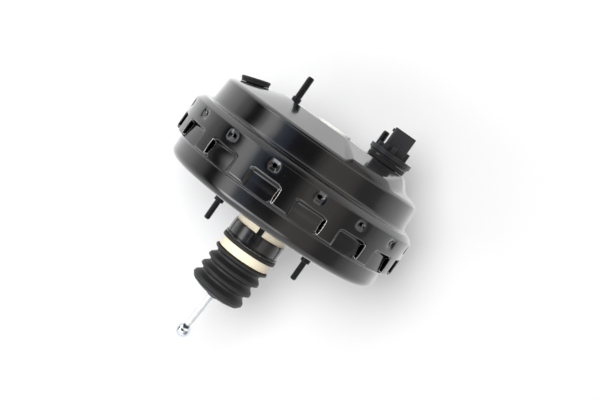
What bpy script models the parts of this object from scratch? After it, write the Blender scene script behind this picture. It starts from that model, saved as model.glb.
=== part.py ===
"""Vacuum brake booster, single diaphragm, bare unit without its master cylinder.

Metres. +X runs along the booster's axis towards the master cylinder, +Z is up and
the axis lies level. The origin is on the axis, at the rear mounting pad.
Profiles are lists of (x, radius): they run along the outer side from front to rear.
"""

import math

import bmesh
import bpy
from mathutils import Matrix, Vector

# Sheet metal and running clearances
SEAT_GAP = 0.0003
SHELL_SHEET = 0.0018
REAR_SHEET = 0.0016
PLATE_SHEET = 0.0012
SLIDE_GAP = 0.0003

# Front shell, along the axis
PLATEAU_X = 0.1210
SHOULDER_X = 0.1055
BAND_TOP_X = 0.0688
POCKET_TOP_X = 0.0497
POCKET_FLOOR_TOP_X = 0.0452
POCKET_FLOOR_END_X = 0.0330
BAND_CORNER_X = 0.0320
BAND_END_X = 0.0297

# Front shell, radii
BORE_RADIUS = 0.0210
PLATEAU_RADIUS = 0.0640
BAND_RADIUS = 0.1350
LEDGE_WIDTH = 0.0167
DRUM_RADIUS = BAND_RADIUS - LEDGE_WIDTH
DRUM_DRAFT = 0.0020
SHOULDER_ROUND = 0.0058
SHOULDER_RADIUS = DRUM_RADIUS - SHOULDER_ROUND
SHOULDER_FILLET = 0.0062
FOOT_FILLET = 0.0045
BORE_COLLAR_DEPTH = 0.0085
CRIMP_WIDTH = 0.0066

# Pockets pressed into the band
POCKET_COUNT = 16
POCKET_DEPTH = 0.0042
POCKET_END_DEPTH = 0.0022
POCKET_WIDTH = 0.0375
SLIT_WIDTH = 0.0032
POCKET_TURN_DEG = 9.2

# Sensor lobe pressed out of the cone, on the -Y side
SENSOR_RADIAL = 0.0647
SENSOR_Z = 0.0040
LOBE_RADIUS = 0.0417
LOBE_END_INSET = 0.0195
LOBE_END_RADIUS = SHOULDER_RADIUS - LOBE_END_INSET
LOBE_SIDE_SLOPE = 0.38
LOBE_END_SLOPE = 2.4

# Rear shell
REAR_WALL_INSET = 0.0090
REAR_WALL_RADIUS = BAND_RADIUS - REAR_WALL_INSET
REAR_CORNER = 0.0090
REAR_FACE_X = 0.0055
PAD_RADIUS = 0.0680
PAD_STEP_RADIUS = 0.0740
NECK_RADIUS = 0.0304
NECK_COLLAR_DEPTH = 0.0085
RIM_INSET = 0.0054
RIM_RADIUS = BAND_RADIUS - RIM_INSET

# Studs
FRONT_STUD_Y = PLATEAU_RADIUS - 0.0165
FRONT_STUD_Z = 0.0205
FRONT_STUD_RADIUS = 0.0038
FRONT_STUD_END_X = 0.1512
FRONT_COLLAR_RADIUS = FRONT_STUD_RADIUS + 0.0011
FRONT_COLLAR_LENGTH = 0.0048
REAR_STUD_Y = 0.0553
REAR_STUD_RADIUS = 0.0034
REAR_STUD_END_X = -0.0325
REAR_COLLAR_RADIUS = 0.0054
REAR_COLLAR_LENGTH = 0.0100
STUD_HEAD_RADIUS = 0.0080
STUD_HEAD_THICKNESS = 0.0030
STUD_HOLE_GAP = 0.0003

# Reinforcement behind the plateau
REINFORCEMENT_SHEET = 0.0020
REINFORCEMENT_RADIUS = PLATEAU_RADIUS - 0.0025

# Neck: guide sleeve, seals and the bulkhead collar
SLEEVE_RADIUS = 0.0296
SLEEVE_WALL = 0.0026
SLEEVE_END_X = -0.0440
SLEEVE_FLANGE_RADIUS = 0.0340
SLEEVE_FLANGE = 0.0018
COLLAR_FRONT_X = -0.0115
COLLAR_LUG_END_X = -0.0252
COLLAR_END_X = -0.0290
COLLAR_RADIUS = SLEEVE_RADIUS + 0.0010
LUG_RISE = 0.0012
LUG_RADIUS = COLLAR_RADIUS + LUG_RISE
COLLAR_FINGER_X = -0.0063
COLLAR_FINGER_WIDTH = 0.0084
SEAL_RING_LENGTH = 0.0045
SEAL_RING_RADIUS = LUG_RADIUS + 0.0002
NECK_SEAL_X = -0.0010
NECK_SEAL_LENGTH = 0.0080
BEARING_LENGTH = 0.0080

# Valve body
TAIL_RADIUS = 0.0215
TAIL_END_X = -0.0740
CHAMBER_RADIUS = 0.0175
CHAMBER_FRONT_X = -0.0200
HUB_REAR_X = 0.0130
HUB_RADIUS = 0.0265
BEAD_GROOVE_X = 0.0150
BEAD_GROOVE_WIDTH = 0.0040
BEAD_GROOVE_RADIUS = 0.0240
FLANGE_X = 0.0230
FLANGE_THICKNESS = 0.0040
FLANGE_RADIUS = 0.0340
NOSE_RADIUS = 0.0245
NOSE_END_X = 0.0330
PLUNGER_RADIUS = 0.0069
PASSAGE_RADIUS = 0.0020
PASSAGE_RADIAL = 0.0167
PASSAGE_COUNT = 4

# Reaction disc and output rod
DISC_RADIUS = 0.0140
DISC_THICKNESS = 0.0070
DISC_SEAT_X = 0.0230
ROD_HEAD_THICKNESS = 0.0035
OUTPUT_ROD_RADIUS = 0.0055
OUTPUT_ROD_END_X = 0.1190
RETAINER_SHEET = 0.0009
RETAINER_HOLE_RADIUS = 0.0080

# Valve key, plunger and poppet
KEY_X = 0.0060
KEY_THICKNESS = 0.0024
KEY_WIDTH = 0.0130
KEY_REACH = 0.0248
KEY_SLOT_WIDTH = 0.0150
KEY_TRAVEL = 0.0030
PLUNGER_WAIST = 0.0045
PLUNGER_FRONT_X = 0.0221
PLUNGER_SEAT_RADIUS = 0.0100
PLUNGER_SEAT_X = -0.0225
PLUNGER_SEAT_THICKNESS = 0.0035
PLUNGER_SOCKET_RADIUS = 0.0085
SOCKET_LIP_DEPTH = 0.0040
POPPET_FACE_RADIUS = 0.0140
POPPET_HOLE_RADIUS = 0.0092
POPPET_END_X = -0.0460
POPPET_WALL = 0.0015
RETAINER_LIP_RADIUS = 0.0105
RETAINER_END_X = -0.0610
RETAINER_WALL = 0.0015
FILTER_LENGTH = 0.0105

# Push rod: a ball in the plunger and a ball for the pedal
PIVOT_X = -0.0340
ROD_LEAN_DEG = 4.0
ROD_RADIUS = 0.0042
ROD_NECK_RADIUS = 0.0030
INNER_BALL_RADIUS = 0.0050
PEDAL_BALL_RADIUS = 0.0080
PEDAL_BALL_X = -0.1430
SPRING_SHOULDER_X = -0.0580
SPRING_SHOULDER_RADIUS = 0.0080

# Boot
BOOT_WALL = 0.0015
BOOT_RIDGE_RADIUS = 0.0318
BOOT_VALLEY_RADIUS = 0.0268
BOOT_FRONT_X = -0.0446
BOOT_PITCH = 0.0128
BOOT_RIDGES = 4
BOOT_END_X = -0.0930

# Diaphragm and its plate
DIAPHRAGM_WALL = 0.0014
BEAD_HEIGHT = 0.0030
PLATE_FOLD = 0.0160
PLATE_RADIUS = REAR_WALL_RADIUS - PLATE_FOLD
PLATE_DISH_X = 0.0150
PLATE_RIM_X = 0.0230

# Springs
RETURN_WIRE = 0.0020
RETURN_REAR_RADIUS = 0.0300
RETURN_FRONT_RADIUS = 0.0340
RETURN_TURNS = 5.0
POPPET_WIRE = 0.0006
POPPET_COIL_RADIUS = 0.0110
POPPET_TURNS = 3.0
ROD_WIRE = 0.0008
ROD_COIL_FRONT_RADIUS = 0.0125
ROD_COIL_REAR_RADIUS = 0.0066
ROD_SPRING_TURNS = 3.5

# Vacuum grommet on the cone, on the +Y side
GROMMET_INSET = 0.0190
GROMMET_RADIAL = SHOULDER_RADIUS - GROMMET_INSET
GROMMET_RADIUS = 0.0152
GROMMET_HEIGHT = 0.0056
GROMMET_NECK_RADIUS = 0.0100
GROMMET_HOLE_RADIUS = 0.0070
GROMMET_INNER_RADIUS = 0.0124
GROMMET_INNER_HEIGHT = 0.0030

# Vacuum sensor
SENSOR_GROMMET_HEIGHT = 0.0050
SENSOR_FOOT_RADIUS = 0.0221
SENSOR_TOP_RADIUS = 0.0245
SENSOR_TOP_X = 0.1345
SENSOR_SPIGOT_RADIUS = 0.0110
SHROUD_Y = 0.0238
SHROUD_Z = 0.0175
SHROUD_TOP_X = 0.1600
SHROUD_WALL = 0.0019
SOCKET_DEPTH = 0.0200
TERMINAL_COUNT = 3
TERMINAL_PITCH = 0.0050
TERMINAL_LENGTH = 0.0120

# White guide ring in the master-cylinder bore
BORE_RING_WALL = 0.0026
BORE_RING_LIP = 0.0022
BORE_RING_LENGTH = 0.0095


for old in list(bpy.data.objects):
    bpy.data.objects.remove(old, do_unlink=True)

PARTS = bpy.data.collections.new("brake_booster")
CUTTERS = bpy.data.collections.new("cutters")
CUTTERS.hide_render = True
for made in (PARTS, CUTTERS):
    bpy.context.scene.collection.children.link(made)


def material(name, hex_colour, roughness, metallic=0.0):
    """A Principled material of one sRGB colour."""
    made = bpy.data.materials.new(name)
    made.use_nodes = True
    shader = made.node_tree.nodes["Principled BSDF"]
    channels = [int(hex_colour[i : i + 2], 16) / 255 for i in (1, 3, 5)]
    linear = [c / 12.92 if c < 0.04045 else ((c + 0.055) / 1.055) ** 2.4 for c in channels]
    shader.inputs["Base Color"].default_value = (*linear, 1)
    shader.inputs["Roughness"].default_value = roughness
    shader.inputs["Metallic"].default_value = metallic
    made.diffuse_color = (*linear, 1)
    return made


BLACK_PAINT = material("black gloss paint", "#1B1B1C", 0.12)
BLACK_STUD = material("black zinc-nickel stud", "#232324", 0.40, 0.6)
ZINC = material("zinc-plated steel", "#C9CCCE", 0.25, 1.0)
PLATE_STEEL = material("phosphated steel", "#6F7274", 0.45, 1.0)
SPRING_STEEL = material("spring steel", "#8B8E90", 0.30, 1.0)
CREAM_NYLON = material("cream nylon", "#EFE6CF", 0.50)
WHITE_NYLON = material("white nylon", "#F3F3EF", 0.45)
BLACK_PLASTIC = material("black moulded plastic", "#2A2A2C", 0.45)
BLACK_RUBBER = material("black rubber", "#1E1E1F", 0.70)
PHENOLIC = material("brown phenolic", "#3B2A22", 0.50)
FOAM = material("grey foam", "#5B5C5E", 0.95)
BRASS = material("brass terminal", "#C8A44D", 0.30, 1.0)


def frame_empty(name, matrix):
    """An empty whose Z axis is the axis that its children are turned about."""
    empty = bpy.data.objects.new(name, None)
    PARTS.objects.link(empty)
    empty.matrix_world = matrix
    return empty


TURN_TO_X = Matrix.Rotation(math.radians(90), 4, "Y")
LEAN = Matrix.Rotation(math.radians(-ROD_LEAN_DEG), 4, "Z")
AXIS = frame_empty("booster_axis", TURN_TO_X)
ROD_PIVOT = frame_empty("rod_pivot", Matrix.Translation((PIVOT_X, 0, 0)) @ LEAN @ TURN_TO_X)


def add(name, mesh, mat, parent=None, collection=PARTS):
    """An object of this mesh, shaded smooth up to sharp edges."""
    made = bpy.data.objects.new(name, mesh)
    collection.objects.link(made)
    made.parent = parent
    if mat is not None:
        mesh.materials.append(mat)
    return made


def smooth(mesh, degrees=35):
    """Smooth shading, with edges over this angle kept sharp."""
    mesh.shade_smooth()
    mesh.set_sharp_from_angle(angle=math.radians(degrees))


def screw(made, steps):
    """A full turn about the object's own Z axis."""
    turn = made.modifiers.new("turn", "SCREW")
    turn.axis = "Z"
    turn.angle = math.tau
    turn.steps = steps
    turn.render_steps = steps
    turn.use_merge_vertices = True
    turn.merge_threshold = 0.00001
    turn.use_smooth_shade = True
    return turn


def profile_mesh(name, profile, closed):
    """The profile's points as a line of edges at +X, its x along Z."""
    points = [(radius, 0, x) for x, radius in profile]
    edges = [(i, i + 1) for i in range(len(points) - 1)]
    if closed:
        edges.append((len(points) - 1, 0))
    mesh = bpy.data.meshes.new(name)
    mesh.from_pydata(points, edges, [])
    return mesh


def turned(name, profile, mat, steps=20, parent=AXIS, collection=PARTS):
    """A solid of revolution: closed round a hole, or from axis to axis."""
    on_axis = profile[0][1] == 0 and profile[-1][1] == 0
    made = add(name, profile_mesh(name, profile, not on_axis), mat, parent, collection)
    screw(made, steps)
    return made


def sheet(name, path, thickness, mat, steps):
    """A turned shell: its outer surface along the path, thickened inwards."""
    made = add(name, profile_mesh(name, path, False), mat, AXIS)
    screw(made, steps)
    wall = made.modifiers.new("wall", "SOLIDIFY")
    wall.thickness = thickness
    wall.offset = -1
    return made


def inset_path(path, distance):
    """The path moved inwards from its outer side, mitred at its corners."""
    lines = [Vector(b) - Vector(a) for a, b in zip(path, path[1:])]
    normals = [Vector((-line.y, line.x)).normalized() for line in lines]
    moved = []
    for i, point in enumerate(path):
        before = normals[max(0, i - 1)]
        after = normals[min(i, len(normals) - 1)]
        mitre = (before + after) / (1 + before.dot(after))
        moved.append(tuple(Vector(point) + mitre * distance))
    return moved


def arc(centre_x, centre_radius, size, start_deg, end_deg, steps):
    """Points of a circular arc in a profile, by angle from the outward radius towards +X."""
    points = []
    for i in range(steps + 1):
        angle = math.radians(start_deg + (end_deg - start_deg) * i / steps)
        points.append((centre_x + size * math.sin(angle), centre_radius + size * math.cos(angle)))
    return points


def cylinder_mesh(name, radius, length, steps=20):
    """A capped cylinder along Z, centred on its origin."""
    mesh = bpy.data.meshes.new(name)
    bm = bmesh.new()
    bmesh.ops.create_cone(
        bm, cap_ends=True, segments=steps, radius1=radius, radius2=radius, depth=length
    )
    bm.to_mesh(mesh)
    bm.free()
    return mesh


def box_mesh(name, size):
    """A box of this size, centred on its origin."""
    mesh = bpy.data.meshes.new(name)
    bm = bmesh.new()
    bmesh.ops.create_cube(bm, size=1, matrix=Matrix.Diagonal((*size, 1)))
    bm.to_mesh(mesh)
    bm.free()
    return mesh


def as_cutter(made):
    """Marks an object as a helper that is left out of the part."""
    made.hide_render = True
    made.display_type = "WIRE"
    return made


def cutter(name, mesh, matrix):
    """A helper solid placed by a matrix."""
    made = add(name, mesh, None, None, CUTTERS)
    made.matrix_world = matrix
    return as_cutter(made)


def boolean(target, other, operation):
    """Cuts other from target, or joins it."""
    step = target.modifiers.new(other.name, "BOOLEAN")
    step.operation = operation
    step.object = other
    step.solver = "EXACT"


def along_x(x, y, z):
    """A place whose local Z axis points along +X."""
    return Matrix.Translation((x, y, z)) @ TURN_TO_X


def spline_at(start, end, share):
    """The value a share of the way from start to end."""
    return start + (end - start) * share


def coil(name, x_start, x_end, r_start, r_end, turns, wire, mat, points_per_turn=12):
    """A coil spring with closed end turns, as a wire that follows a helix."""
    count = int(turns * points_per_turn)
    curve = bpy.data.curves.new(name, "CURVE")
    curve.dimensions = "3D"
    curve.bevel_depth = wire
    curve.bevel_resolution = 1
    curve.use_fill_caps = True
    line = curve.splines.new("POLY")
    line.points.add(count)
    for i in range(count + 1):
        share = i / count
        eased = share - 0.55 * math.sin(math.tau * share) / math.tau
        radius = spline_at(r_start, r_end, share)
        angle = math.tau * turns * share
        x = spline_at(x_start, x_end, eased)
        line.points[i].co = (radius * math.cos(angle), radius * math.sin(angle), x, 1)
    made = bpy.data.objects.new(name, curve)
    PARTS.objects.link(made)
    made.parent = AXIS
    curve.materials.append(mat)
    return made


# Front shell: one pressed sheet, so its surface is laid out ring by ring round the axis


def lobe_rise(y, z):
    """Height of the sensor lobe's surface at a point of the front, seen along the axis."""
    reach = math.hypot(SENSOR_RADIAL, SENSOR_Z)
    along = (-y * SENSOR_RADIAL + z * SENSOR_Z) / reach
    across = abs(y * SENSOR_Z + z * SENSOR_RADIAL) / reach
    taper = (PLATEAU_RADIUS - LOBE_RADIUS) / reach
    side = math.sqrt(1 - taper * taper)
    if side * along < taper * across:
        return 0
    outside = side * across + taper * along - PLATEAU_RADIUS
    beyond = math.hypot(along, across) - LOBE_END_RADIUS
    return PLATEAU_X - max(0, LOBE_SIDE_SLOPE * outside, LOBE_END_SLOPE * beyond)


def cone_height(radius):
    """Height of the plain cone between plateau and shoulder."""
    share = (radius - PLATEAU_RADIUS) / (SHOULDER_RADIUS - PLATEAU_RADIUS)
    return spline_at(PLATEAU_X, SHOULDER_X, max(0, share))


def face_x(radius, angle):
    """Height of the front face at this radius and angle from +Z towards +Y."""
    if radius <= PLATEAU_RADIUS or radius >= SHOULDER_RADIUS:
        return cone_height(radius)
    rise = lobe_rise(radius * math.sin(angle), radius * math.cos(angle))
    return max(cone_height(radius), rise)


def front_rings():
    """Inner rings as (x, radius), then the band's as (x, radius, radius in a pocket)."""
    drum_end = DRUM_RADIUS + DRUM_DRAFT
    ledge_x = BAND_TOP_X + 0.0055
    floor_top = BAND_RADIUS - POCKET_DEPTH
    floor_end = BAND_RADIUS - POCKET_END_DEPTH
    curl = BAND_RADIUS - 0.0022
    lip = BAND_RADIUS - CRIMP_WIDTH
    inner_rings = [
        (PLATEAU_X - BORE_COLLAR_DEPTH, BORE_RADIUS),
        (PLATEAU_X, BORE_RADIUS),
    ]
    for share in (0, 0.22, 0.43, 0.567, 0.699, 1):
        inner_rings.append((None, spline_at(PLATEAU_RADIUS, SHOULDER_RADIUS, share)))
    inner_rings += [
        (SHOULDER_X - 0.27 * SHOULDER_FILLET, spline_at(SHOULDER_RADIUS, DRUM_RADIUS, 0.70)),
        (SHOULDER_X - SHOULDER_FILLET, DRUM_RADIUS),
        (ledge_x + FOOT_FILLET, drum_end),
        (ledge_x + 0.30 * FOOT_FILLET, drum_end + 0.30 * FOOT_FILLET),
        (ledge_x, drum_end + FOOT_FILLET),
        (BAND_TOP_X + 0.0006, BAND_RADIUS - 0.0014),
    ]
    band_rings = [
        (BAND_TOP_X - 0.0012, BAND_RADIUS, BAND_RADIUS),
        (POCKET_TOP_X, BAND_RADIUS, BAND_RADIUS),
        (POCKET_FLOOR_TOP_X, BAND_RADIUS, floor_top),
        (POCKET_FLOOR_END_X, BAND_RADIUS, floor_end),
        (BAND_CORNER_X, BAND_RADIUS, floor_end),
        (BAND_END_X, curl, curl),
        (BAND_END_X, lip, lip),
    ]
    return inner_rings, band_rings


def pocket_angles():
    """Angles of the face's columns, then of the band's: (angle, whether it is on a floor)."""
    outer = POCKET_WIDTH / 2 / BAND_RADIUS
    floor = (POCKET_WIDTH / 2 - SLIT_WIDTH) / BAND_RADIUS
    quarter = math.tau / POCKET_COUNT / 4
    face_columns = []
    band_columns = []
    for i in range(POCKET_COUNT):
        centre = math.tau * i / POCKET_COUNT + math.radians(POCKET_TURN_DEG)
        face_columns += [centre - quarter, centre + quarter]
        band_columns += [(centre - outer, False), (centre - floor, True)]
        band_columns += [(centre + floor, True), (centre + outer, False)]
    return face_columns, band_columns


def front_shell_mesh():
    """The outer surface of the front shell, with a slit in each pocket's side walls."""
    inner_rings, band_rings = front_rings()
    face_columns, columns = pocket_angles()
    bm = bmesh.new()

    def point(x, radius, angle):
        height = face_x(radius, angle) if x is None else x
        return bm.verts.new((height, radius * math.sin(angle), radius * math.cos(angle)))

    inner = []
    for x, radius in inner_rings:
        inner.append([point(x, radius, angle) for angle in face_columns])
    band = []
    for x, radius, floor in band_rings:
        band.append([point(x, floor if is_floor else radius, a) for a, is_floor in columns])
    for first, second in zip(inner, inner[1:]):
        for i in range(len(first)):
            j = (i + 1) % len(first)
            bm.faces.new((first[j], second[j], second[i], first[i]))
    last = inner[-1]
    start = band[0]
    for i in range(len(last)):
        j = (i + 1) % len(last)
        a, b, c = start[2 * i], start[2 * i + 1], start[(2 * i + 2) % len(start)]
        bm.faces.new((b, a, last[i]))
        bm.faces.new((last[i], last[j], c, b))
    for row, (first, second) in enumerate(zip(band, band[1:])):
        slit_row = POCKET_FLOOR_END_X <= band_rings[row + 1][0] < POCKET_TOP_X
        for i in range(len(first)):
            j = (i + 1) % len(first)
            side_wall = columns[i][1] != columns[j][1]
            if slit_row and side_wall:
                continue
            bm.faces.new((first[j], second[j], second[i], first[i]))
    mesh = bpy.data.meshes.new("front_shell")
    bm.to_mesh(mesh)
    bm.free()
    return mesh


front_shell = add("front_shell", front_shell_mesh(), BLACK_PAINT)
shell_wall = front_shell.modifiers.new("wall", "SOLIDIFY")
shell_wall.thickness = SHELL_SHEET
shell_wall.offset = -1
smooth(front_shell.data)

front_reinforcement = turned(
    "front_reinforcement",
    [
        (PLATEAU_X - SHELL_SHEET - SEAT_GAP, REINFORCEMENT_RADIUS),
        (PLATEAU_X - SHELL_SHEET - SEAT_GAP - REINFORCEMENT_SHEET, REINFORCEMENT_RADIUS),
        (PLATEAU_X - SHELL_SHEET - SEAT_GAP - REINFORCEMENT_SHEET, BORE_RADIUS + 0.0040),
        (PLATEAU_X - SHELL_SHEET - SEAT_GAP, BORE_RADIUS + 0.0040),
    ],
    PLATE_STEEL,
    24,
)

# Stud holes through the front shell and the reinforcement
FRONT_STUDS = {
    "front_stud_left": (FRONT_STUD_Y, FRONT_STUD_Z),
    "front_stud_right": (-FRONT_STUD_Y, -FRONT_STUD_Z),
}
REAR_STUDS = {
    "rear_stud_left": (REAR_STUD_Y, 0.0),
    "rear_stud_right": (-REAR_STUD_Y, 0.0),
}
HEAD_FACE_X = PLATEAU_X - SHELL_SHEET - REINFORCEMENT_SHEET - 2 * SEAT_GAP
for name, (y, z) in FRONT_STUDS.items():
    hole = cutter(
        name + "_hole",
        cylinder_mesh(name + "_hole", FRONT_STUD_RADIUS + STUD_HOLE_GAP, 0.020, 16),
        along_x(PLATEAU_X, y, z),
    )
    boolean(front_shell, hole, "DIFFERENCE")
    boolean(front_reinforcement, hole, "DIFFERENCE")
    stud = turned(
        name,
        [
            (FRONT_STUD_END_X, 0),
            (FRONT_STUD_END_X, FRONT_STUD_RADIUS - 0.0008),
            (FRONT_STUD_END_X - 0.0008, FRONT_STUD_RADIUS),
            (PLATEAU_X + SEAT_GAP + FRONT_COLLAR_LENGTH, FRONT_STUD_RADIUS),
            (PLATEAU_X + SEAT_GAP + FRONT_COLLAR_LENGTH, FRONT_COLLAR_RADIUS),
            (PLATEAU_X + SEAT_GAP, FRONT_COLLAR_RADIUS),
            (PLATEAU_X + SEAT_GAP, FRONT_STUD_RADIUS),
            (HEAD_FACE_X - SEAT_GAP, FRONT_STUD_RADIUS),
            (HEAD_FACE_X - SEAT_GAP, STUD_HEAD_RADIUS),
            (HEAD_FACE_X - SEAT_GAP - STUD_HEAD_THICKNESS, STUD_HEAD_RADIUS),
            (HEAD_FACE_X - SEAT_GAP - STUD_HEAD_THICKNESS, 0),
        ],
        BLACK_STUD,
        10,
        None,
    )
    stud.matrix_world = along_x(0, y, z)

# Rear shell: a shallow pan with a raised mounting pad and a collared neck hole
RIM_X = BAND_END_X + SHELL_SHEET + SEAT_GAP
rear_path = [(RIM_X, RIM_RADIUS), (RIM_X, REAR_WALL_RADIUS + 0.0015)]
rear_path += [(RIM_X - 0.0015, REAR_WALL_RADIUS)]
rear_path += arc(
    REAR_FACE_X + REAR_CORNER, REAR_WALL_RADIUS - REAR_CORNER, REAR_CORNER, 0, -90, 3
)
rear_path += [
    (REAR_FACE_X, PAD_STEP_RADIUS),
    (0, PAD_RADIUS),
    (0, NECK_RADIUS + 0.0016),
    (0.0016, NECK_RADIUS),
    (NECK_COLLAR_DEPTH, NECK_RADIUS),
]
rear_shell = sheet("rear_shell", rear_path, REAR_SHEET, BLACK_PAINT, 24)
for name, (y, z) in REAR_STUDS.items():
    hole = cutter(
        name + "_hole",
        cylinder_mesh(name + "_hole", REAR_STUD_RADIUS + STUD_HOLE_GAP, 0.020, 16),
        along_x(0, y, z),
    )
    boolean(rear_shell, hole, "DIFFERENCE")
    head_x = REAR_SHEET + SEAT_GAP
    stud = turned(
        name,
        [
            (head_x + STUD_HEAD_THICKNESS, 0),
            (head_x + STUD_HEAD_THICKNESS, STUD_HEAD_RADIUS),
            (head_x, STUD_HEAD_RADIUS),
            (head_x, REAR_STUD_RADIUS),
            (-SEAT_GAP, REAR_STUD_RADIUS),
            (-SEAT_GAP, REAR_COLLAR_RADIUS),
            (-SEAT_GAP - REAR_COLLAR_LENGTH, REAR_COLLAR_RADIUS),
            (-SEAT_GAP - REAR_COLLAR_LENGTH, REAR_STUD_RADIUS),
            (REAR_STUD_END_X + 0.0008, REAR_STUD_RADIUS),
            (REAR_STUD_END_X, REAR_STUD_RADIUS - 0.0008),
            (REAR_STUD_END_X, 0),
        ],
        BLACK_STUD,
        10,
        None,
    )
    stud.matrix_world = along_x(0, y, z)

# White ring that guides the master cylinder's spigot into the bore
ring_radius = BORE_RADIUS - SEAT_GAP
turned(
    "bore_ring",
    [
        (PLATEAU_X + BORE_RING_LIP, ring_radius),
        (PLATEAU_X + BORE_RING_LIP - BORE_RING_LENGTH, ring_radius),
        (PLATEAU_X + BORE_RING_LIP - BORE_RING_LENGTH, ring_radius - BORE_RING_WALL),
        (PLATEAU_X + BORE_RING_LIP, ring_radius - BORE_RING_WALL),
    ],
    WHITE_NYLON,
    24,
)

# Vacuum grommet, square to the cone it is pushed into
CONE_SLOPE = math.atan2(PLATEAU_X - SHOULDER_X, SHOULDER_RADIUS - PLATEAU_RADIUS)
grommet_place = (
    Matrix.Translation((cone_height(GROMMET_RADIAL), GROMMET_RADIAL, 0))
    @ Matrix.Rotation(CONE_SLOPE, 4, "Z")
    @ TURN_TO_X
)
grommet_hole = cutter(
    "grommet_hole",
    cylinder_mesh("grommet_hole", GROMMET_NECK_RADIUS + SEAT_GAP, 0.020, 24),
    grommet_place,
)
boolean(front_shell, grommet_hole, "DIFFERENCE")
GROMMET_SEAT = 0.0006
vacuum_grommet = turned(
    "vacuum_grommet",
    [
        (GROMMET_SEAT + GROMMET_HEIGHT, GROMMET_RADIUS + 0.0005),
        (GROMMET_SEAT + GROMMET_HEIGHT - 0.0020, GROMMET_RADIUS - 0.0006),
        (GROMMET_SEAT, GROMMET_RADIUS - 0.0010),
        (GROMMET_SEAT, GROMMET_NECK_RADIUS),
        (-SHELL_SHEET - GROMMET_SEAT, GROMMET_NECK_RADIUS),
        (-SHELL_SHEET - GROMMET_SEAT, GROMMET_INNER_RADIUS),
        (-SHELL_SHEET - GROMMET_SEAT - GROMMET_INNER_HEIGHT, GROMMET_INNER_RADIUS - 0.0018),
        (-SHELL_SHEET - GROMMET_SEAT - GROMMET_INNER_HEIGHT, GROMMET_HOLE_RADIUS),
        (GROMMET_SEAT + GROMMET_HEIGHT - 0.0010, GROMMET_HOLE_RADIUS),
        (GROMMET_SEAT + GROMMET_HEIGHT, GROMMET_HOLE_RADIUS + 0.0010),
    ],
    BLACK_RUBBER,
    16,
    None,
)
vacuum_grommet.matrix_world = grommet_place

# Vacuum sensor on the lobe: rubber grommet, moulded body with its connector, terminals
reinforcement_notch = cutter(
    "reinforcement_notch",
    cylinder_mesh("reinforcement_notch", SENSOR_SPIGOT_RADIUS + 0.0050, 0.020, 20),
    along_x(PLATEAU_X, -SENSOR_RADIAL, SENSOR_Z),
)
boolean(front_reinforcement, reinforcement_notch, "DIFFERENCE")
sensor_hole = cutter(
    "sensor_hole",
    cylinder_mesh("sensor_hole", SENSOR_SPIGOT_RADIUS + 0.0026, 0.020, 24),
    along_x(PLATEAU_X, -SENSOR_RADIAL, SENSOR_Z),
)
boolean(front_shell, sensor_hole, "DIFFERENCE")
grommet_top = PLATEAU_X + SEAT_GAP + SENSOR_GROMMET_HEIGHT
sensor_grommet = turned(
    "sensor_grommet",
    [
        (grommet_top, SENSOR_FOOT_RADIUS),
        (PLATEAU_X + SEAT_GAP, SENSOR_FOOT_RADIUS - 0.0006),
        (PLATEAU_X + SEAT_GAP, SENSOR_SPIGOT_RADIUS + 0.0022),
        (PLATEAU_X - SHELL_SHEET - SEAT_GAP, SENSOR_SPIGOT_RADIUS + 0.0022),
        (PLATEAU_X - SHELL_SHEET - 0.0024, SENSOR_SPIGOT_RADIUS + 0.0040),
        (PLATEAU_X - SHELL_SHEET - 0.0050, SENSOR_SPIGOT_RADIUS + 0.0020),
        (PLATEAU_X - SHELL_SHEET - 0.0050, SENSOR_SPIGOT_RADIUS + SEAT_GAP),
        (grommet_top, SENSOR_SPIGOT_RADIUS + SEAT_GAP),
    ],
    BLACK_RUBBER,
    18,
    None,
)
sensor_grommet.matrix_world = along_x(0, -SENSOR_RADIAL, SENSOR_Z)

sensor_base = grommet_top + SEAT_GAP
sensor_body = turned(
    "sensor_body",
    [
        (SENSOR_TOP_X, 0),
        (SENSOR_TOP_X, SENSOR_TOP_RADIUS - 0.0008),
        (SENSOR_TOP_X - 0.0008, SENSOR_TOP_RADIUS),
        (SENSOR_TOP_X - 0.0058, SENSOR_TOP_RADIUS - 0.0004),
        (sensor_base, SENSOR_FOOT_RADIUS + 0.0004),
        (sensor_base, SENSOR_SPIGOT_RADIUS),
        (PLATEAU_X - SHELL_SHEET - 0.0070, SENSOR_SPIGOT_RADIUS),
        (PLATEAU_X - SHELL_SHEET - 0.0070, 0.0030),
        (PLATEAU_X + 0.0040, 0.0030),
        (PLATEAU_X + 0.0040, 0),
    ],
    BLACK_PLASTIC,
    18,
    None,
)
sensor_body.matrix_world = along_x(0, -SENSOR_RADIAL, SENSOR_Z)
shroud_height = SHROUD_TOP_X - SENSOR_TOP_X + 0.002
shroud_place = Matrix.Translation((SHROUD_TOP_X - shroud_height / 2, -SENSOR_RADIAL, SENSOR_Z))
shroud = cutter(
    "shroud", box_mesh("shroud", (shroud_height, SHROUD_Y, SHROUD_Z)), shroud_place
)
rounding = shroud.modifiers.new("round", "BEVEL")
rounding.width = 0.0012
rounding.segments = 2
rounding.limit_method = "ANGLE"
boolean(sensor_body, shroud, "UNION")
latch = cutter(
    "latch_lip",
    box_mesh("latch_lip", (0.0032, 0.0030, 0.0090)),
    Matrix.Translation(
        (SHROUD_TOP_X - 0.0040, -SENSOR_RADIAL + SHROUD_Y / 2 + 0.0010, SENSOR_Z)
    ),
)
boolean(sensor_body, latch, "UNION")
socket = cutter(
    "socket",
    box_mesh(
        "socket", (2 * SOCKET_DEPTH, SHROUD_Y - 2 * SHROUD_WALL, SHROUD_Z - 2 * SHROUD_WALL)
    ),
    Matrix.Translation((SHROUD_TOP_X, -SENSOR_RADIAL, SENSOR_Z)),
)
boolean(sensor_body, socket, "DIFFERENCE")
socket_floor = SHROUD_TOP_X - SOCKET_DEPTH
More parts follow.
